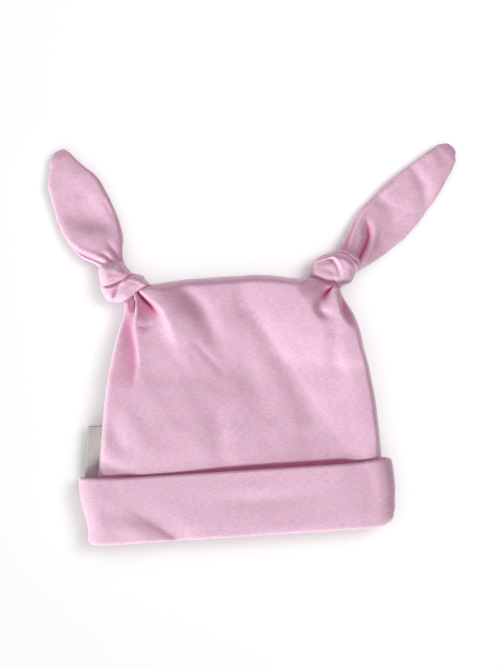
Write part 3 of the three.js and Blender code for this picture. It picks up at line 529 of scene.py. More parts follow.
def top_ring(u):
    """The crown's upper end: the left neck, the top seam and the right neck."""
    seam = [neck_end(LEFT_NECK, 1)]
    seam += [crown_place(side, rise) for side, rise in TOP_SEAM]
    seam += [neck_end(RIGHT_NECK, -1)]
    dense = spline(seam, 200)
    lengths = np.concatenate([[0], np.cumsum(np.linalg.norm(np.diff(dense, axis=0), axis=1))])
    lengths /= lengths[-1]
    at = np.clip((u / SEAM_SHARE + 1) / 2, 0, 1)
    ring = beside(np.interp(at, lengths, dense[:, 0]), np.interp(at, lengths, dense[:, 1]))
    beyond = np.clip((np.abs(u) - SEAM_SHARE) / (1 - SEAM_SHARE), 0, 1)[..., None]
    left = mix(neck_end(LEFT_NECK, 1), neck_end(LEFT_NECK, -1), beyond)
    right = mix(neck_end(RIGHT_NECK, -1), neck_end(RIGHT_NECK, 1), beyond)
    ring = np.where((u < -SEAM_SHARE)[..., None], left, ring)
    return np.where((u > SEAM_SHARE)[..., None], right, ring)


def crown_plan(u, level):
    """The crown's outline from above: u runs from the left seam to the right, level up to the top."""
    across = ((u + 1) / 2)[..., None]
    top = np.full_like(level, HAT_HEIGHT)
    ends = [side_curve(1, -1, LEFT_NECK, top), side_curve(2, 1, RIGHT_NECK, top)]
    bend = top_ring(u) - mix(ends[0], ends[1], across)
    left = side_curve(1, -1, LEFT_NECK, level)
    right = side_curve(2, 1, RIGHT_NECK, level)
    return mix(left, right, across) + bend * ((level / HAT_HEIGHT) ** 4)[..., None]


def neck_nearness(place, reach):
    """1 at the middle of a neck, falling evenly to 0 at some reach from it."""
    found = np.zeros(place.shape[:-1])
    for side, rise, angle in (LEFT_NECK, RIGHT_NECK):
        distance = np.linalg.norm(place - crown_place(side, rise), axis=-1)
        found = np.maximum(found, 1 - distance / reach)
    return found


def under_knots(x, y):
    """1 under the knots and 0 clear of them, with a narrow change at their outlines."""
    found = np.zeros(x.shape)
    spots = beside(x, y)
    for knot in (LEFT_KNOT, RIGHT_KNOT):
        close = np.linalg.norm(spots - np.array(knot["middle"]), axis=-1) < KNOT_RADIUS
        for high, rounding, outline in knot["wraps"]:
            depth = depth_inside(spots[close], closed_curve(outline, WRAP_STEPS))
            found[close] = np.maximum(found[close], smooth(-1.3, 0.5, depth))
    return found


def gathers(place):
    """Small pleats that run out of each knot into the crown."""
    height = np.zeros(place.shape[:-1])
    for (side, rise, angle), pleats, start in ((LEFT_NECK, 23, 0.4), (RIGHT_NECK, 21, 1.9)):
        offset = place - crown_place(side, rise)
        distance = np.linalg.norm(offset, axis=-1)
        turn = np.arctan2(offset[..., 1], offset[..., 0])
        waves = np.sin(turn * pleats + start) + 0.6 * np.sin(turn * pleats * 0.57 + start * 3)
        fading = np.exp(-((distance - 7) / 9) ** 2) * smooth(1.5, 6, distance)
        height += GATHER_HEIGHT * waves * fading
    return height


def swells(x, y, layers):
    """Gentle random swells, each between about its height below the cloth and above it."""
    total = 0
    for height, size, seed in layers:
        points = np.stack([np.ravel(x) / size, np.ravel(y) / size], axis=1)
        values = [noise.noise(Vector((px, py, seed))) for px, py in points]
        total = total + height * (np.array(values).reshape(np.shape(x)) * 1.6)
    return total


def crown_point(u, level, front):
    """The crown's outer face at a grid of points; front is one truth value for all of them."""
    place = crown_plan(u, level)
    x, y = place[..., 0], place[..., 1]
    faces = np.full(u.shape, front)

    # inside the cuff it follows the cuff's inner face, squeezed to its own width
    rim_depth = np.full(u.shape, CUFF_WALL + CLOTH_GAP)
    cuff_y = np.minimum(y, CUFF_HEIGHT)
    p = inside_cuff(u, faces, cuff_y, rim_depth)
    low = inside_cuff(np.full_like(u, -1), faces, cuff_y, rim_depth)[..., 0]
    high = inside_cuff(np.full_like(u, 1), faces, cuff_y, rim_depth)[..., 0]
    across = (p[..., 0] - low) / (high - low)
    left = side_curve(1, -1, LEFT_NECK, level)[..., 0]
    right = side_curve(2, 1, RIGHT_NECK, level)[..., 0]
    open_part = mouth_share(x)
    mouth = CUFF_MOUTH * open_part * smooth(0.2, 1, cuff_y / CUFF_HEIGHT) if front else np.zeros_like(u)
    cuffed_z = mix(CUFF_SEAM, p[..., 1], 1 - mouth / CUFF_LOFT * 2)
    cuffed = beside(mix(left, right, across), y, cuffed_z)

    # beyond it two sheets part from a seam
    rise = y / HAT_HEIGHT
    neck = smooth(0, 0.75, neck_nearness(place, NECK_REACH))
    near_top = level / HAT_HEIGHT
    seam = mix(SEAM_LEVEL, TOP_SEAM_LEVEL, smooth(0.8, 1, near_top))
    seam = mix(seam, KNOT_LEVEL, neck)
    half = mix(WALL * 0.5, NECK_THICKNESS / 2, neck)
    edge = rounded_edge(u, *CROWN_SIDE_EDGE) * rounded_edge(near_top, *CROWN_TOP_EDGE)
    if front:
        crowning = np.where(u < 0, *CROWN_CROWNING) * u * u
        full = CROWN_LOFT * read_column(CROWN_FULLNESS, 1, rise) * (1 - crowning)
        folds = fold_height(CROWN_FOLDS, x, y)
        swell = swells(x, y, CROWN_SWELLS)
        soft = smooth(1.0, 0.8, np.abs(u)) * smooth(1.0, 0.9, near_top)
        full = mix(full, NECK_TOP, neck_nearness(place, NECK_PULL_REACH) ** 1.6)
        z = mix(seam + half, np.maximum(full, seam + half) + swell * soft, edge)
        z = z + (folds + gathers(place)) * mix(edge, 1, neck)
        z = mix(z, np.minimum(z, NECK_TOP - 0.5), under_knots(x, y))
        z = np.maximum(z, seam - half + 1)
    else:
        z = mix(np.maximum(seam - half, 0), 0, edge)
    free = beside(x, y, z)

    above = y - cuff_rise(u, faces, np.full_like(u, CUFF_HEIGHT))
    shape = mix(cuffed, free, smooth(0, 1, above / CUFF_RELEASE)[..., None])
    if front:
        # just above the cuff it swells up from a little below the cuff's edge
        lip = cuff_point(u, faces, np.full_like(u, CUFF_HEIGHT))[..., 1]
        climb = 1 - (1 - np.clip(above / LIP_CLIMB, 0, 1)) ** 2
        swollen = mix(lip - LIP_DROP[0] - LIP_DROP[1] * open_part, free[..., 2], climb)
        close = smooth(0.0, LIP_REACH[0] + LIP_REACH[1] * open_part, above)
        close = close * smooth(1.0, 0.94, np.abs(u))
        shape[..., 2] = mix(shape[..., 2], swollen, close)
    return shape


def both_faces(front, back):
    """The loops of a sack, row by row: along its front and back along its back."""
    return np.concatenate([front, back[:, ::-1]], axis=1)


def add_mesh(name, vertices, faces, weave, painted_shade=None):
    """A smooth-shaded object of points in millimetres. weave holds each point's place on the
    cloth, in metres, for the knit, and the last one how much painted shade each point gets, from 0 to 1."""
    mesh = bpy.data.meshes.new(name)
    placed = (np.asarray(vertices) + SHIFT) * MM
    mesh.from_pydata(placed.tolist(), [], [list(map(int, face)) for face in faces])
    mesh.update()
    mesh.validate()
    if painted_shade is None:
        painted_shade = np.zeros(len(placed))
    corners = np.empty(len(mesh.loops), dtype=np.int32)
    mesh.loops.foreach_get("vertex_index", corners)
    # the depth map carries each point's share of painted shade to the material
    for layer_name, values in (("weave", weave), ("depth", np.stack([painted_shade, painted_shade], axis=1))):
        layer = mesh.uv_layers.new(name=layer_name)
        layer.data.foreach_set("uv", np.asarray(values, dtype=np.float32)[corners].ravel())
    mesh.polygons.foreach_set("use_smooth", np.ones(len(mesh.polygons), dtype=bool))
    made = bpy.data.objects.new(name, mesh)
    bpy.context.collection.objects.link(made)
    return made


def ring_faces(first, second, size, turned=False):
    """The faces between two closed loops of equal size."""
    k = np.arange(size)
    after = (k + 1) % size
    if turned:
        k, after = after, k
    return np.stack([first + k, first + after, second + after, second + k], axis=1)


def tube_faces(first, rows, size, turned=False):
    """The faces of a tube of closed loops, from the first point of its first loop."""
    starts = [first + row * size for row in range(rows)]
    return [ring_faces(low, high, size, turned) for low, high in zip(starts, starts[1:])]


def close_faces(first, size, turned=False):
    """The strip that closes a sack's loop, between its front and its back."""
    k = np.arange(size // 2 - 1)
    after = k + 1
    if turned:
        k, after = after, k
    return np.stack([first + k, first + after, first + size - 1 - after, first + size - 1 - k], axis=1)


def crown_shade_mask(x, y):
    """How much painted shade the crown's front gets: in its creases, and as a painted shadow behind and
    just above the cuff's edge.
    """
    behind = 1 - smooth(0.2, 2.0 + 2.9 * mouth_share(x), y - CUFF_HEIGHT)
    return np.maximum(crease_shade_mask(CROWN_FOLDS, x, y, CROWN_SHADE_DEPTH), CUFF_EDGE_SHADOW * behind)


def build_crown(columns, rows, cuff_rows, hollow_rows):
    """A sack with its front, its back and a lining, open at the brim."""
    inner_levels = np.linspace(BRIM_DEPTH, HAT_HEIGHT, hollow_rows)
    levels = np.concatenate([
        np.linspace(BRIM_DEPTH, CUFF_HEIGHT - 3, cuff_rows),
        spaced_by(upper_density, CUFF_HEIGHT - 2.2, HAT_HEIGHT, rows),
    ])
    places = spaced_by(corner_density, -1, 1, columns + 1)
    u, level = np.meshgrid(places, levels)
    front = crown_point(u, level, True)
    outer = both_faces(front, crown_point(u, level, False))

    # the lining: the same sack, a little narrower and lower, with a hollow between its faces
    inset = 1 - (WALL * 1.3) / CROWN_HALF
    u, level = np.meshgrid(places, inner_levels)
    lower = level - WALL * 1.6 * smooth(CUFF_TOP, HAT_HEIGHT, level)
    lining = crown_point(u * inset, lower, True)
    back = crown_point(u * inset, lower, False)
    # each of its rows lies under the lowest part of the face between the rows beside it
    spacing = inner_levels[1] - inner_levels[0]
    for row, at in enumerate(inner_levels):
        lowest = front[np.abs(levels - at) < spacing * 1.1, :, 2].min(axis=0)
        around = [np.roll(lowest, shift) for shift in range(-LINING_REACH, LINING_REACH + 1)]
        lining[row, :, 2] = np.minimum(lining[row, :, 2], np.min(around, axis=0))
    parted = np.maximum(LEAST_HOLLOW, (lining[..., 2] - back[..., 2]) / 2 - WALL)
    middle = (lining + back) / 2
    away = beside(np.zeros_like(parted), np.zeros_like(parted), parted)
    inner = both_faces(middle + away, middle - away)

    size = outer.shape[1]
    vertices = np.concatenate([outer.reshape(-1, 3), inner.reshape(-1, 3)])
    # painted shade on the front, in its creases and behind the cuff's edge; none on the back or the
    # lining
    painted_shade = np.zeros(outer.shape[:2])
    painted_shade[:, :columns + 1] = crown_shade_mask(outer[:, :columns + 1, 0], outer[:, :columns + 1, 1])
    painted_shade = np.concatenate([painted_shade.ravel(), np.zeros(inner.shape[0] * inner.shape[1])])
    faces = tube_faces(0, len(levels), size)
    faces.append(close_faces((len(levels) - 1) * size, size))
    first = len(levels) * size
    faces += tube_faces(first, hollow_rows, size, True)
    faces.append(close_faces(first + (hollow_rows - 1) * size, size, True))
    faces.append(ring_faces(0, first, size, True))
    weave = vertices[:, :2] * MM + vertices[:, 2:3] * MM * np.array([0.7, 0.7])
    return add_mesh("crown_cloth", vertices, np.concatenate(faces), weave, painted_shade)


def build_cuff(columns):
    """One section, from the rolled upper edge down the inside and up the outside, swept round."""
    places = across_sheet(columns, 0.35)
    u = np.concatenate([places, places[1:-1][::-1]])
    front = np.concatenate([np.full(len(places), True), np.full(len(places) - 2, False)])
    rim_depth = CUFF_WALL + CLOTH_GAP + WALL
    ledge = BRIM_DEPTH * 0.85
    high = CUFF_HEIGHT - CUFF_WALL / 2
    section = []
    for turn in np.linspace(0, math.pi, 9):
        section.append((CUFF_WALL / 2 * (1 - math.cos(turn)), high + CUFF_WALL / 2 * math.sin(turn)))
    section += [(CUFF_WALL, y) for y in np.linspace(high, ledge, 20)[1:]]
    section += [(rim_depth, ledge)]
    for turn in np.linspace(0, math.pi, 11)[1:-1]:
        y = BRIM_DEPTH * (1 - math.sin(turn)) * 0.85
        section.append((rim_depth / 2 * (1 + math.cos(turn)), y))
    section += [(0.0, y) for y in np.linspace(BRIM_DEPTH, high, 40)[:-1]]
    rows = []
    for depth, y in section:
        heights = np.full(len(u), y)
        p = inside_cuff(u, front, heights, np.full(len(u), depth))
        rows.append(beside(p[:, 0], cuff_rise(u, front, heights), p[:, 1]))
    grid = np.stack(rows)
    grid[..., 2] = np.maximum(grid[..., 2], 0)
    size = len(u)
    count = len(section)
    faces = [ring_faces(row * size, ((row + 1) % count) * size, size, True) for row in range(count)]
    vertices = grid.reshape(-1, 3)
    weave = vertices[:, :2] * MM + vertices[:, 2:3] * MM * np.array([0.7, 0.0])
    return add_mesh("cuff_cloth", vertices, np.concatenate(faces), weave)


def build_ear(ear, columns, rows):
    """A leaf of two faces that starts as a round bundle inside the knot and lies flat beyond it."""
    ahead = direction(ear["angle"])
    left_way = to_left(ahead)
    base = crown_place(*ear["base"])
    half = EAR_BASE_WIDTH / EAR_WIDTH / 2
    outline = [(0.0, half, half, EAR_BASE_THICKNESS / EAR_THICKNESS)] + ear["outline"]
    outline = np.array(outline + [(1.0, 0.0, 0.0, 0.7)])
    t = np.linspace(0, 1, rows + 1)
    share = np.sin(np.pi / 2 * t) * 0.5 + t * 0.5
    # the outline is rounded off towards the tip
    tip = rounded_edge(share, EAR_TIP_FROM)
    along = np.minimum(share, outline[-2, 0])
    left = read_column(outline, 1, along) * EAR_WIDTH * tip
    right = read_column(outline, 2, along) * EAR_WIDTH * tip
    level = read_column(outline, 3, share) * EAR_THICKNESS
    places = across_sheet(columns, 0.5)
    u = np.broadcast_to(places, (len(share), len(places)))
    sideways = np.where(u < 0, -u * left[:, None], -u * right[:, None])
    reach = np.broadcast_to((share * ear["length"])[:, None], u.shape)
    plan = base + reach[..., None] * ahead + sideways[..., None] * left_way
    x, y = plan[..., 0], plan[..., 1]
    lifted = np.broadcast_to((1 - smooth(0.04, 0.3, share))[:, None], u.shape)
    middle = mix(EAR_THICKNESS * 0.6, KNOT_LEVEL, lifted)
    rim = WALL * 0.45
    thickness = level[:, None]
    # beyond the knot the ear's section turns from round to flat
    round_part = rounded_edge(u, *EAR_ROUND_EDGE) * mix(0.3, 1.0, lifted)
    flat_part = rounded_edge(u, *EAR_FLAT_EDGE) * mix(0.7, 0.0, lifted)
    edge = (round_part + flat_part) * rounded_edge(share, *EAR_END_EDGE)[:, None]
    folds = fold_height(ear["folds"], x, y)
    swell = swells(x, y, EAR_SWELLS)
    crest = np.maximum(thickness + folds + swell, middle + rim)
    lifted_top = KNOT_LEVEL + thickness / 2 + folds * 0.8
    top = mix(crest, lifted_top, lifted)
    bottom = mix(0.0, KNOT_LEVEL - thickness / 2, lifted)
    front_z = mix(middle + rim, top, edge)
    back_z = mix(np.maximum(0, middle - rim), bottom, edge)
    grid = both_faces(beside(x, y, front_z), beside(x, y, back_z))
    size = grid.shape[1]
    vertices = grid.reshape(-1, 3)
    faces = tube_faces(0, rows + 1, size)
    faces.append(close_faces(rows * size, size))
    faces.append(close_faces(0, size, True))
    flat = beside(-sideways, reach)
    weave = both_faces(flat, flat).reshape(-1, 2) * MM
    # painted shade in the ear's creases, on its upper face only
    painted_shade = crease_shade_mask(ear["folds"], x, y, EAR_SHADE_DEPTH)
    painted_shade = both_faces(painted_shade, np.zeros_like(painted_shade)).ravel()
    return add_mesh(ear["name"] + "_cloth", vertices, np.concatenate(faces), weave, painted_shade)


# Knots. A knot's face is the highest of a few overlapping wraps of cloth, each a rounded pad inside
# its own outline, and creases are pressed in between them. A wrap is its height over the knot's
# level, the width of its rounded edge and its outline, in millimetres.
KNOT_SOFTNESS = 1.0
KNOT_RADIUS = 19
WRAP_STEPS = 5
# the pads' true height over the tables', and the knot's depth under its level over its height
PAD_GAIN = 1.1
UNDER_SHARE = 0.85
LEFT_KNOT = {
    "name": "knot_left",
    "middle": (-56.5, 143.8),
    "grain": 35,
    "wraps": [
        # the wrap round the foot of the ear
        (7.2, 5.5, [
            (-68.9, 149), (-68.6, 152), (-66.5, 154.4), (-62, 155.1), (-58, 155.8), (-55.6, 155.2),
            (-53, 151.2), (-50, 147.4), (-49.3, 145.8), (-54, 143.6), (-58, 142), (-62, 140.4),
            (-66.5, 140.4), (-68.4, 144.5),
        ]),
        # the lobe under it on the left
        (6.9, 4.5, [
            (-68.3, 141.5), (-67.6, 143), (-65, 143.8), (-60, 144.6), (-56.6, 145.2), (-55.2, 143),
            (-58.4, 138), (-60.4, 133.2), (-63, 133), (-65.6, 134.3), (-67.4, 138),
        ]),
        # the wrap that comes out of the crown and turns under
        (8.0, 4.0, [
            (-57.2, 145), (-53.8, 147.2), (-50, 147.8), (-45, 146.5), (-43.3, 144), (-40.9, 140.6),
            (-45, 139.2), (-48, 137.8), (-51, 135.4), (-53.6, 133.4), (-58, 132.7), (-61.6, 132.9),
            (-60.6, 137), (-58.8, 141),
        ]),
    ],
    "creases": [
        ("crease", [(-67, 142.1), (-62, 142), (-57, 144), (-53, 146), (-49.5, 147.2)],
         (-0.5, -1.6, -1.4), (0.5, 0.6, 0.6)),
        ("crease", [(-56.5, 143.8), (-59.2, 139), (-61.6, 133.4)], (-0.6, -0.9, -0.6), (0.5, 0.6, 0.7)),
        ("soft", [(-61, 153.6), (-57, 150.2), (-52.6, 148)], (-0.1, -0.2, -0.2), (0.7, 0.8, 0.7)),
        ("soft", [(-58, 155), (-55.6, 151.8), (-52.4, 149.4)], (-0.1, -0.2, -0.2), (0.6, 0.6, 0.6)),
        ("soft", [(-66, 150.5), (-60, 148), (-54.5, 146.9)], (-0.1, -0.15, -0.2), (0.9, 1.0, 0.8)),
        ("soft", [(-64.5, 141), (-63, 137), (-64, 134.5)], (-0.1, -0.15, -0.1), (1.0, 1.1, 1.0)),
        ("soft", [(-55, 144.6), (-50, 142.6), (-46, 141.4)], (-0.1, -0.15, -0.15), (0.9, 0.9, 0.8)),
        ("soft", [(-52, 138.8), (-56, 136), (-60, 134.6)], (-0.1, -0.2, -0.1), (0.8, 0.9, 0.9)),
    ],
}
RIGHT_KNOT = {
    "name": "knot_right",
    "middle": (61.5, 143.6),
    "grain": -60,
    "wraps": [
        # the pad in the middle
        (6.6, 4.2, [
            (46.6, 139.7), (47.6, 142.5), (48.7, 146.2), (51, 147.8), (55, 149), (59, 149.6),
            (62.6, 148), (65, 144), (65.8, 139), (64.5, 135.2), (61, 135.2), (57, 135.2),
            (53, 136.8), (50, 138.3),
        ]),
        # the roll above it
        (6.8, 2.8, [
            (48.3, 144.9), (48.7, 146.9), (51, 149.3), (55, 151.3), (60, 152.5), (64, 153.6),
            (66, 152), (62, 148.4), (58, 147), (54, 146.1), (50.5, 144.9),
        ]),
        # the strip round the foot of the ear
        (6.3, 2.6, [
            (60, 151), (63, 153.6), (66.5, 153.6), (70, 152.2), (73.4, 149.8), (75.3, 146.6),
            (75.2, 144), (73, 141.5), (70, 144), (67, 147.5), (63, 149.5),
        ]),
        # the broad wrap over the front, with a rolled edge on its left
        (7.6, 4.6, [
            (57.2, 149.8), (59.4, 151.4), (63, 152), (67, 151.2), (71, 148.6), (73.4, 145.6),
            (73.4, 142.2), (71.6, 139), (70, 136), (68, 134.8), (65, 134), (62.9, 133.4),
            (62.3, 136), (62.2, 140), (61.2, 144), (59.4, 147.2),
        ]),
        # the little lobe where the crown goes in
        (5.6, 1.8, [
            (60.2, 136.6), (62.3, 137.2), (64.4, 135.4), (63.8, 132.8), (61.8, 132.6), (60.2, 134.4),
        ]),
    ],
    "creases": [
        ("slit", [(49.2, 146.2), (54, 147.5), (57, 148.4), (59.6, 147.9)],
         (-0.4, -0.7, -1.2), (0.4, 0.4, 0.6)),
        ("soft", [(59, 150.6), (61.6, 148.4), (63.6, 144.6), (64.4, 139.6), (64.2, 135)], (0.3, 0.4, 0.3),
         (1.0, 1.1, 1.0)),
        ("soft", [(62.2, 150.4), (65, 146.6), (66.6, 141), (67, 136)],
         (-0.15, -0.25, -0.1), (1.1, 1.3, 1.2)),
        ("soft", [(67, 142.5), (68.4, 139), (68.2, 136)], (0.1, 0.2, 0.1), (1.1, 1.3, 1.2)),
        ("slit", [(62, 152), (66, 151.6), (70, 149.2), (73, 145.8)],
         (-0.4, -0.7, -0.6), (0.45, 0.45, 0.5)),
        ("soft", [(64, 153), (69, 151.2), (73, 148)], (0.1, 0.3, 0.2), (0.6, 0.6, 0.6)),
        ("crease", [(72, 147.2), (73.6, 144.8), (74.4, 142.4)], (-0.5, -0.7, -0.4), (0.4, 0.45, 0.4)),
        ("soft", [(52, 150.2), (57, 150.3), (62, 151.4)], (-0.2, -0.4, -0.3), (0.8, 0.8, 0.8)),
        ("soft", [(50, 143.8), (55, 143.4), (60, 141)], (-0.1, -0.3, -0.3), (1.4, 1.5, 1.4)),
    ],
}


def closed_curve(points, steps):
    """A smooth closed line through the points."""
    points = np.asarray(points, float)
    t = np.linspace(0, 1, steps, endpoint=False)[:, None]
    parts = []
    for k in range(len(points)):
        a, b, c, d = (points[(k + shift) % len(points)] for shift in (-1, 0, 1, 2))
        curve = 2 * b + (c - a) * t
        curve = curve + (2 * a - 5 * b + 4 * c - d) * t ** 2 + (3 * b - a - 3 * c + d) * t ** 3
        parts.append(curve / 2)
    return np.concatenate(parts)


def depth_inside(points, outline):
    """How far each point lies inside a closed line; outside it the value is below zero."""
    after = np.roll(outline, -1, axis=0)
    along = after - outline
    offset = points[:, None, :] - outline[None]
    t = np.clip((offset * along).sum(axis=2) / (along ** 2).sum(axis=1), 0, 1)
    nearest = np.sqrt(((offset - t[..., None] * along) ** 2).sum(axis=2)).min(axis=1)
    x, y = points[:, :1], points[:, 1:]
    straddles = (outline[None, :, 1] > y) != (after[None, :, 1] > y)
    rise = np.where(np.abs(along[:, 1]) < 1e-9, 1e-9, along[:, 1])
    crossing = outline[None, :, 0] + (y - outline[None, :, 1]) * along[:, 0] / rise
    within = (straddles & (x < crossing)).sum(axis=1) % 2 == 1
    return np.where(within, nearest, -nearest)


def build_knot(knot, sides, rows):
    """Rings out from the knot's middle to the outline of all its wraps, over and under."""
    outlines = [closed_curve(outline, WRAP_STEPS) for high, rounding, outline in knot["wraps"]]
    middle = np.array(knot["middle"])
    angles = np.linspace(0, 2 * np.pi, sides, endpoint=False)
    ways = np.stack([np.cos(angles), np.sin(angles)], axis=1)
    reaches = np.linspace(0.2, 20, 140)
    rays = (middle + ways[:, None] * reaches[None, :, None]).reshape(-1, 2)
    inside = np.max([depth_inside(rays, outline) for outline in outlines], axis=0) > 0
    inside = inside.reshape(sides, -1)
    last = inside.shape[1] - 1 - np.argmax(inside[:, ::-1], axis=1)
    reach = reaches[last]
    # the two ends of each last step are halved until the outline is met
    low, high = reach, reach + (reaches[1] - reaches[0])
    for _ in range(8):
        half = (low + high) / 2
        spots = middle + ways * half[:, None]
        met = np.max([depth_inside(spots, outline) for outline in outlines], axis=0) > 0
        low = np.where(met, half, low)
        high = np.where(met, high, half)
    even = np.linspace(0, 1, rows + 1)[1:]
    share = np.sin(even * np.pi / 2) * 0.7 + even * 0.3
    plan = middle + ways[None] * (low[None, :, None] * share[:, None, None])
    flat = np.concatenate([[middle], plan.reshape(-1, 2)])
    # a mean over a small round patch leaves no sharp ridges on the pads
    up = np.zeros(len(flat))
    patch = [(0.0, 0.0)]
    for turn in np.linspace(0, 2 * np.pi, 9)[:-1]:
        patch.append((KNOT_SOFTNESS * math.cos(turn), KNOT_SOFTNESS * math.sin(turn)))
    for offset in patch:
        highest = np.zeros(len(flat))
        for (high, rounding, _), outline in zip(knot["wraps"], outlines):
            depth = np.clip(depth_inside(flat + np.array(offset), outline), 0, None)
            pad = np.sqrt(1 - (1 - np.minimum(depth / rounding, 1)) ** 2)
            highest = np.maximum(highest, high * PAD_GAIN * pad)
        up += highest / len(patch)
    rim = smooth(0, 2.5, up)
    x, y = flat[:, 0], flat[:, 1]
    creases = fold_height(knot["creases"], x, y)
    swell = swells(x, y, KNOT_SWELLS)
    top = KNOT_LEVEL + np.maximum(up + (creases + swell) * rim, 0)
    bottom = np.maximum(0.1, KNOT_LEVEL - up * UNDER_SHARE)
    upper = np.stack([x, y, top], axis=1)
    lower = np.stack([x, y, bottom], axis=1)
    rims = slice(len(flat) - sides, len(flat))
    upper[rims, 2] = KNOT_LEVEL
    lower = lower[:len(flat) - sides]
    vertices = np.concatenate([upper, lower])
    base = len(flat)
    faces = []
    k = np.arange(sides)
    after = (k + 1) % sides
    for row in range(rows - 1):
        first = 1 + row * sides
        second = first + sides
        faces += np.stack([first + k, second + k, second + after, first + after], axis=1).tolist()
        if row < rows - 2:
            one, two = base + first, base + second
        else:
            one, two = base + first, 1 + (rows - 1) * sides
        faces += np.stack([one + k, one + after, two + after, two + k], axis=1).tolist()
    faces += [(0, 1 + a, 1 + b) for a, b in zip(k, after)]
    faces += [(base, base + 1 + b, base + 1 + a) for a, b in zip(k, after)]
    grain = direction(knot["grain"])
    across = vertices[:, :2] @ np.array([grain, to_left(grain)]).T
    weave = (across + vertices[:, 2:3] * 0.5) * MM
    # painted shade in the knot's creases, on its upper face only
    painted_shade = np.concatenate([crease_shade_mask(knot["creases"], x, y, KNOT_SHADE_DEPTH), np.zeros(len(lower))])
    return add_mesh(knot["name"] + "_cloth", vertices, faces, weave, painted_shade)


# Label: a ribbon folded once, sewn into the left side seam and tucked behind the cuff. It is in
# millimetres, apart from the ribbon's cut size before it was folded, which is in metres.
LABEL_TOP = 65.6
LABEL_LOW = 35.0
# its outer and its inner edge, each at the top and at the lower end
LABEL_OUTER = (-79.6, -83.6)
LABEL_INNER = (-71.4, -76.0)
LABEL_LEVEL = 6.6
LABEL_LAYER = 0.48
# half the way from one layer to the other, and how much they bulge apart between fold and seam
LABEL_PARTED = 0.31
LABEL_BULGE = 0.12


def build_label(steps):
    """The ribbon runs out from the seam, folds over at its outer edge and runs back."""
    run = np.linspace(0, 1, steps + 1)
    y = mix(LABEL_TOP, LABEL_LOW, run)
    outer = np.stack([mix(*LABEL_OUTER, run), y], axis=1)
    inner = np.stack([mix(*LABEL_INNER, run), mix(LABEL_TOP - 0.5, LABEL_LOW, run)], axis=1)
    level = LABEL_LEVEL + 1.1 * np.sin(run * np.pi) + 0.5 * np.cos(run * np.pi * 1.6)
    across = np.linspace(0, 1, 9)
    turn = np.linspace(-np.pi / 2, np.pi / 2, 7)[1:-1]
    layer = [(share, LABEL_PARTED + LABEL_BULGE * math.sin(share * math.pi)) for share in across]
    fold = [(1 + 0.04 * math.cos(a), -LABEL_PARTED * math.sin(a)) for a in turn]
    section = layer + fold + [(share, -lift) for share, lift in layer[::-1]]
    vertices = []
    weave = []
    for row in range(steps + 1):
        for share, lift in section:
            spot = mix(inner[row], outer[row], share)
            vertices.append((spot[0], spot[1], level[row] + lift + 0.5 * share ** 2))
            weave.append((share * 0.008, run[row] * (LABEL_TOP - LABEL_LOW) * MM))
    size = len(section)
    faces = [ring_faces(row * size, (row + 1) * size, size)[:-1] for row in range(steps)]
    made = add_mesh("label_ribbon", vertices, np.concatenate(faces), weave)
    thickness = made.modifiers.new("layer", "SOLIDIFY")
    thickness.thickness = LABEL_LAYER * MM
    thickness.offset = 0
    return made


crown = build_crown(columns=250, rows=152, cuff_rows=8, hollow_rows=14)
cuff = build_cuff(columns=260)
ears = [build_ear(LEFT_EAR, columns=90, rows=130), build_ear(RIGHT_EAR, columns=90, rows=150)]
knots = [build_knot(knot, sides=260, rows=70) for knot in (LEFT_KNOT, RIGHT_KNOT)]
label = build_label(steps=40)

stands_for = {
    "crown": crown,
    "cuff": cuff,
    "ear_left": ears[0],
    "ear_right": ears[1],
    "knot_left": knots[0],
    "knot_right": knots[1],
    "label": label,
}
for node, piece in stands_for.items():
    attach(piece, "root")
    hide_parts(node)


# Materials, with the pitches of their weaves in metres
WALE_PITCH = 0.0008
COURSE_PITCH = 0.0006
RIB_PITCH = 0.00055
WARP_PITCH = 0.0007
WHITE = (1.0, 1.0, 1.0, 1)


class Graph:
    """Short ways to add nodes to a material."""

    def __init__(self, name):
        self.material = bpy.data.materials.new(name)
        self.material.use_nodes = True
        self.tree = self.material.node_tree
        self.shader = self.tree.nodes["Principled BSDF"]
        self.place = self.from_map("weave")

    def feed(self, node, values):
        """Sets each of a node's inputs to a value, or links it to another node's output."""
        for key, value in values.items():
            if isinstance(value, bpy.types.NodeSocket):
                self.tree.links.new(value, node.inputs[key])
            else:
                node.inputs[key].default_value = value

    def add(self, kind, values):
        made = self.tree.nodes.new("ShaderNode" + kind)
        self.feed(made, values)
        return made

    def from_map(self, name):
        made = self.add("UVMap", {})
        made.uv_map = name
        return made.outputs["UV"]

    def part(self, vector, axis):
        return self.add("SeparateXYZ", {"Vector": vector}).outputs[axis]

    def noise(self, scale, detail, seed):
        """Noise over the cloth, with its scale across and along in waves for each metre."""
        start = (seed, seed * 0.7, 0.0)
        mapping = self.add("Mapping", {"Vector": self.place, "Scale": (*scale, 1.0), "Location": start})
        made = self.add("TexNoise", {"Vector": mapping.outputs["Vector"], "Scale": 1.0, "Detail": detail})
        made.noise_dimensions = "2D"
        return made.outputs["Fac"]

    def ramp(self, source, stops):
        made = self.add("ValToRGB", {"Fac": source})
        elements = made.color_ramp.elements
        elements[0].position, elements[0].color = stops[0]
        elements[1].position, elements[1].color = stops[-1]
        for position, colour in stops[1:-1]:
            elements.new(position).color = colour
        return made.outputs["Color"]

    def multiply(self, first, *others):
        """The product of some colours."""
        for other in others:
            made = self.add("Mix", {})
            made.data_type = "RGBA"
            made.blend_type = "MULTIPLY"
            self.feed(made, {"Factor": 1.0, 6: first, 7: other})
            first = made.outputs[2]
        return first

    def maths(self, operation, *values):
        made = self.add("Math", dict(enumerate(values)))
        made.operation = operation
        return made.outputs[0]

    def wave(self, axis, pitch):
        """Even ribs across or along the cloth, one in each pitch, in metres."""
        turns = self.maths("MULTIPLY", self.part(self.place, axis), 2 * math.pi / pitch)
        return self.maths("SINE", turns)

    def bump(self, height, strength, distance):
        made = self.add("Bump", {"Height": height, "Strength": strength, "Distance": distance})
        return made.outputs["Normal"]


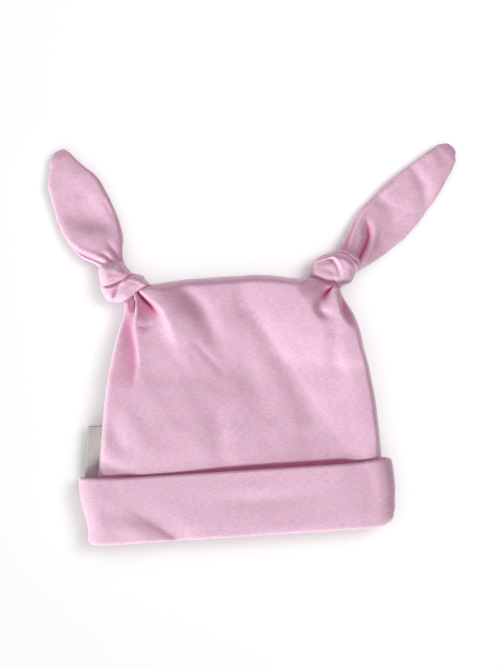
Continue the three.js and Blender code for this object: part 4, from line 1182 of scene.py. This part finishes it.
def jersey_material():
    """Melange cotton jersey: pink with paler and deeper yarns, a fine knit, and painted shade in its
    creases and behind the cuff's edge.
    """
    graph = Graph("jersey")
    streaks = graph.noise((330, 1500), 3.0, 3.0)
    patches = graph.noise((30, 36), 3.0, 9.0)
    fibres = graph.noise((2600, 2000), 2.0, 5.0)
    base = graph.ramp(streaks, [
        (0.3, (0.715, 0.42, 0.533, 1)),
        (0.5, (0.765, 0.474, 0.589, 1)),
        (0.7, (0.815, 0.53, 0.645, 1)),
    ])
    tone = graph.ramp(patches, [(0.3, (0.965, 0.945, 0.955, 1)), (0.7, WHITE)])
    fine = graph.ramp(fibres, [(0.3, (0.93, 0.905, 0.92, 1)), (0.7, WHITE)])
    # painted shade: where the depth map marks a crease or the cuff's edge, the colour is darkened to a
    # deep pink, standing in for light that reaches there only through and between the cloth's faces
    crease_shade_tint = graph.ramp(graph.part(graph.from_map("depth"), "X"), [
        (0.0, WHITE),
        (0.5, (0.97, 0.62, 0.77, 1)),
        (1.0, (0.86, 0.16, 0.38, 1)),
    ])
    wales = graph.wave("X", WALE_PITCH)
    stitches = graph.maths("MULTIPLY", wales, graph.wave("Y", COURSE_PITCH))
    knit = graph.maths("ADD", graph.maths("MULTIPLY", wales, 0.5), stitches)
    knit = graph.maths("ADD", knit, graph.maths("MULTIPLY", fibres, 1.8))
    graph.feed(graph.shader, {
        "Base Color": graph.multiply(base, tone, fine, crease_shade_tint),
        "Roughness": 0.68,
        "Sheen Weight": 0.75,
        "Sheen Roughness": 0.5,
        "Sheen Tint": WHITE,
        "Specular IOR Level": 0.55,
        "Subsurface Weight": 0.1,
        "Subsurface Radius": (1.0, 0.25, 0.42),
        "Subsurface Scale": 0.0009,
        "Normal": graph.bump(knit, 0.35, 0.0001),
    })
    return graph.material


def ribbon_material():
    """A bare woven ribbon, grey-beige, with ribs across it."""
    graph = Graph("ribbon")
    threads = graph.noise((900, 5000), 2.0, 2.0)
    slubs = graph.noise((260, 420), 3.0, 4.0)
    base = graph.ramp(threads, [(0.3, (0.45, 0.42, 0.38, 1)), (0.7, (0.56, 0.53, 0.49, 1))])
    tone = graph.ramp(slubs, [(0.3, (0.93, 0.93, 0.92, 1)), (0.7, WHITE)])
    warp = graph.maths("MULTIPLY", graph.wave("X", WARP_PITCH), 0.6)
    weave = graph.maths("ADD", graph.wave("Y", RIB_PITCH), warp)
    graph.feed(graph.shader, {
        "Base Color": graph.multiply(base, tone),
        "Roughness": 0.8,
        "Sheen Weight": 0.1,
        "Specular IOR Level": 0.25,
        "Normal": graph.bump(weave, 0.5, 0.00008),
    })
    return graph.material


jersey = jersey_material()
ribbon = ribbon_material()
for node, piece in stands_for.items():
    piece.data.materials.append(ribbon if node == "label" else jersey)

# Floor
FLOOR_HALF = 1.6
FLOOR_LEVEL = -0.0002
corners = []
for across, along in ((-1, -1), (1, -1), (1, 1), (-1, 1)):
    corners.append((across * FLOOR_HALF, along * FLOOR_HALF, FLOOR_LEVEL))
floor_mesh = bpy.data.meshes.new("floor")
floor_mesh.from_pydata(corners, [], [(0, 1, 2, 3)])
floor = bpy.data.objects.new("floor", floor_mesh)
bpy.context.collection.objects.link(floor)
floor_material = bpy.data.materials.new("floor")
floor_material.use_nodes = True
floor_shader = floor_material.node_tree.nodes["Principled BSDF"]
floor_shader.inputs["Base Color"].default_value = (0.9, 0.9, 0.9, 1)
floor_shader.inputs["Roughness"].default_value = 0.95
floor_shader.inputs["Specular IOR Level"].default_value = 0.0
floor.data.materials.append(floor_material)


# Lights: a soft key from the lower left and a weak disc overhead for the hat, and for the floor a
# broad disc overhead and a small one on the right, which leaves the hat's faint shadow on its left
def add_light(name, place, size, power, colour, receivers, kind="AREA"):
    """A light that looks at the frame's middle. The size is in metres, or a sun's angle."""
    light = bpy.data.lights.new(name, kind)
    if kind == "AREA":
        light.shape = "DISK"
        light.size = size
    else:
        light.angle = size
    light.energy = power
    light.color = colour
    made = bpy.data.objects.new(name, light)
    made.location = place
    made.rotation_euler = (-Vector(place)).to_track_quat("-Z", "Y").to_euler()
    bpy.context.collection.objects.link(made)
    lit = bpy.data.collections.new(name + "_receivers")
    for receiver in receivers:
        lit.objects.link(receiver)
    made.light_linking.receiver_collection = lit


hat = list(stands_for.values())
add_light("key", (-1.31, -1.5, 0.88), math.radians(28), 4.6, (0.865, 1.0, 0.98), hat, "SUN")
add_light("fill", (0.08, 0.22, 0.8), 1.0, 3.1, (1.0, 0.76, 0.93), hat)
add_light("floor_dome", (0.0, 0.0, 1.2), 3.2, 25, (0.975, 1.0, 0.985), [floor])
add_light("floor_light", (0.72, 0.25, 1.15), 0.7, 7.5, (1.0, 1.0, 1.0), [floor])

world = bpy.data.worlds.new("studio")
bpy.context.scene.world = world
world.use_nodes = True
background = world.node_tree.nodes["Background"]
background.inputs["Color"].default_value = WHITE
background.inputs["Strength"].default_value = 0.2

# The photograph is looked at straight from above, with the hat turned a little.
PHOTO_TURN = 3.7
PHOTO_PIXELS = 667
PIXEL = 0.55
FRAME_HEIGHT = PHOTO_PIXELS * PIXEL
SENSOR = 36.0
LENS = 100.0
AIM = (12.1, 110.8, 10.0)
camera_data = bpy.data.cameras.new("camera")
camera_data.lens = LENS
camera_data.sensor_width = SENSOR
camera_data.clip_start = 0.01
camera = bpy.data.objects.new("camera", camera_data)
distance = FRAME_HEIGHT * LENS / SENSOR
eye = (np.array(AIM) + SHIFT + np.array([0, 0, distance])) * MM
camera.location = eye.tolist()
camera.rotation_euler = (0, 0, -math.radians(PHOTO_TURN))
bpy.context.collection.objects.link(camera)
bpy.context.scene.camera = camera
bpy.context.scene.view_settings.view_transform = "Standard"
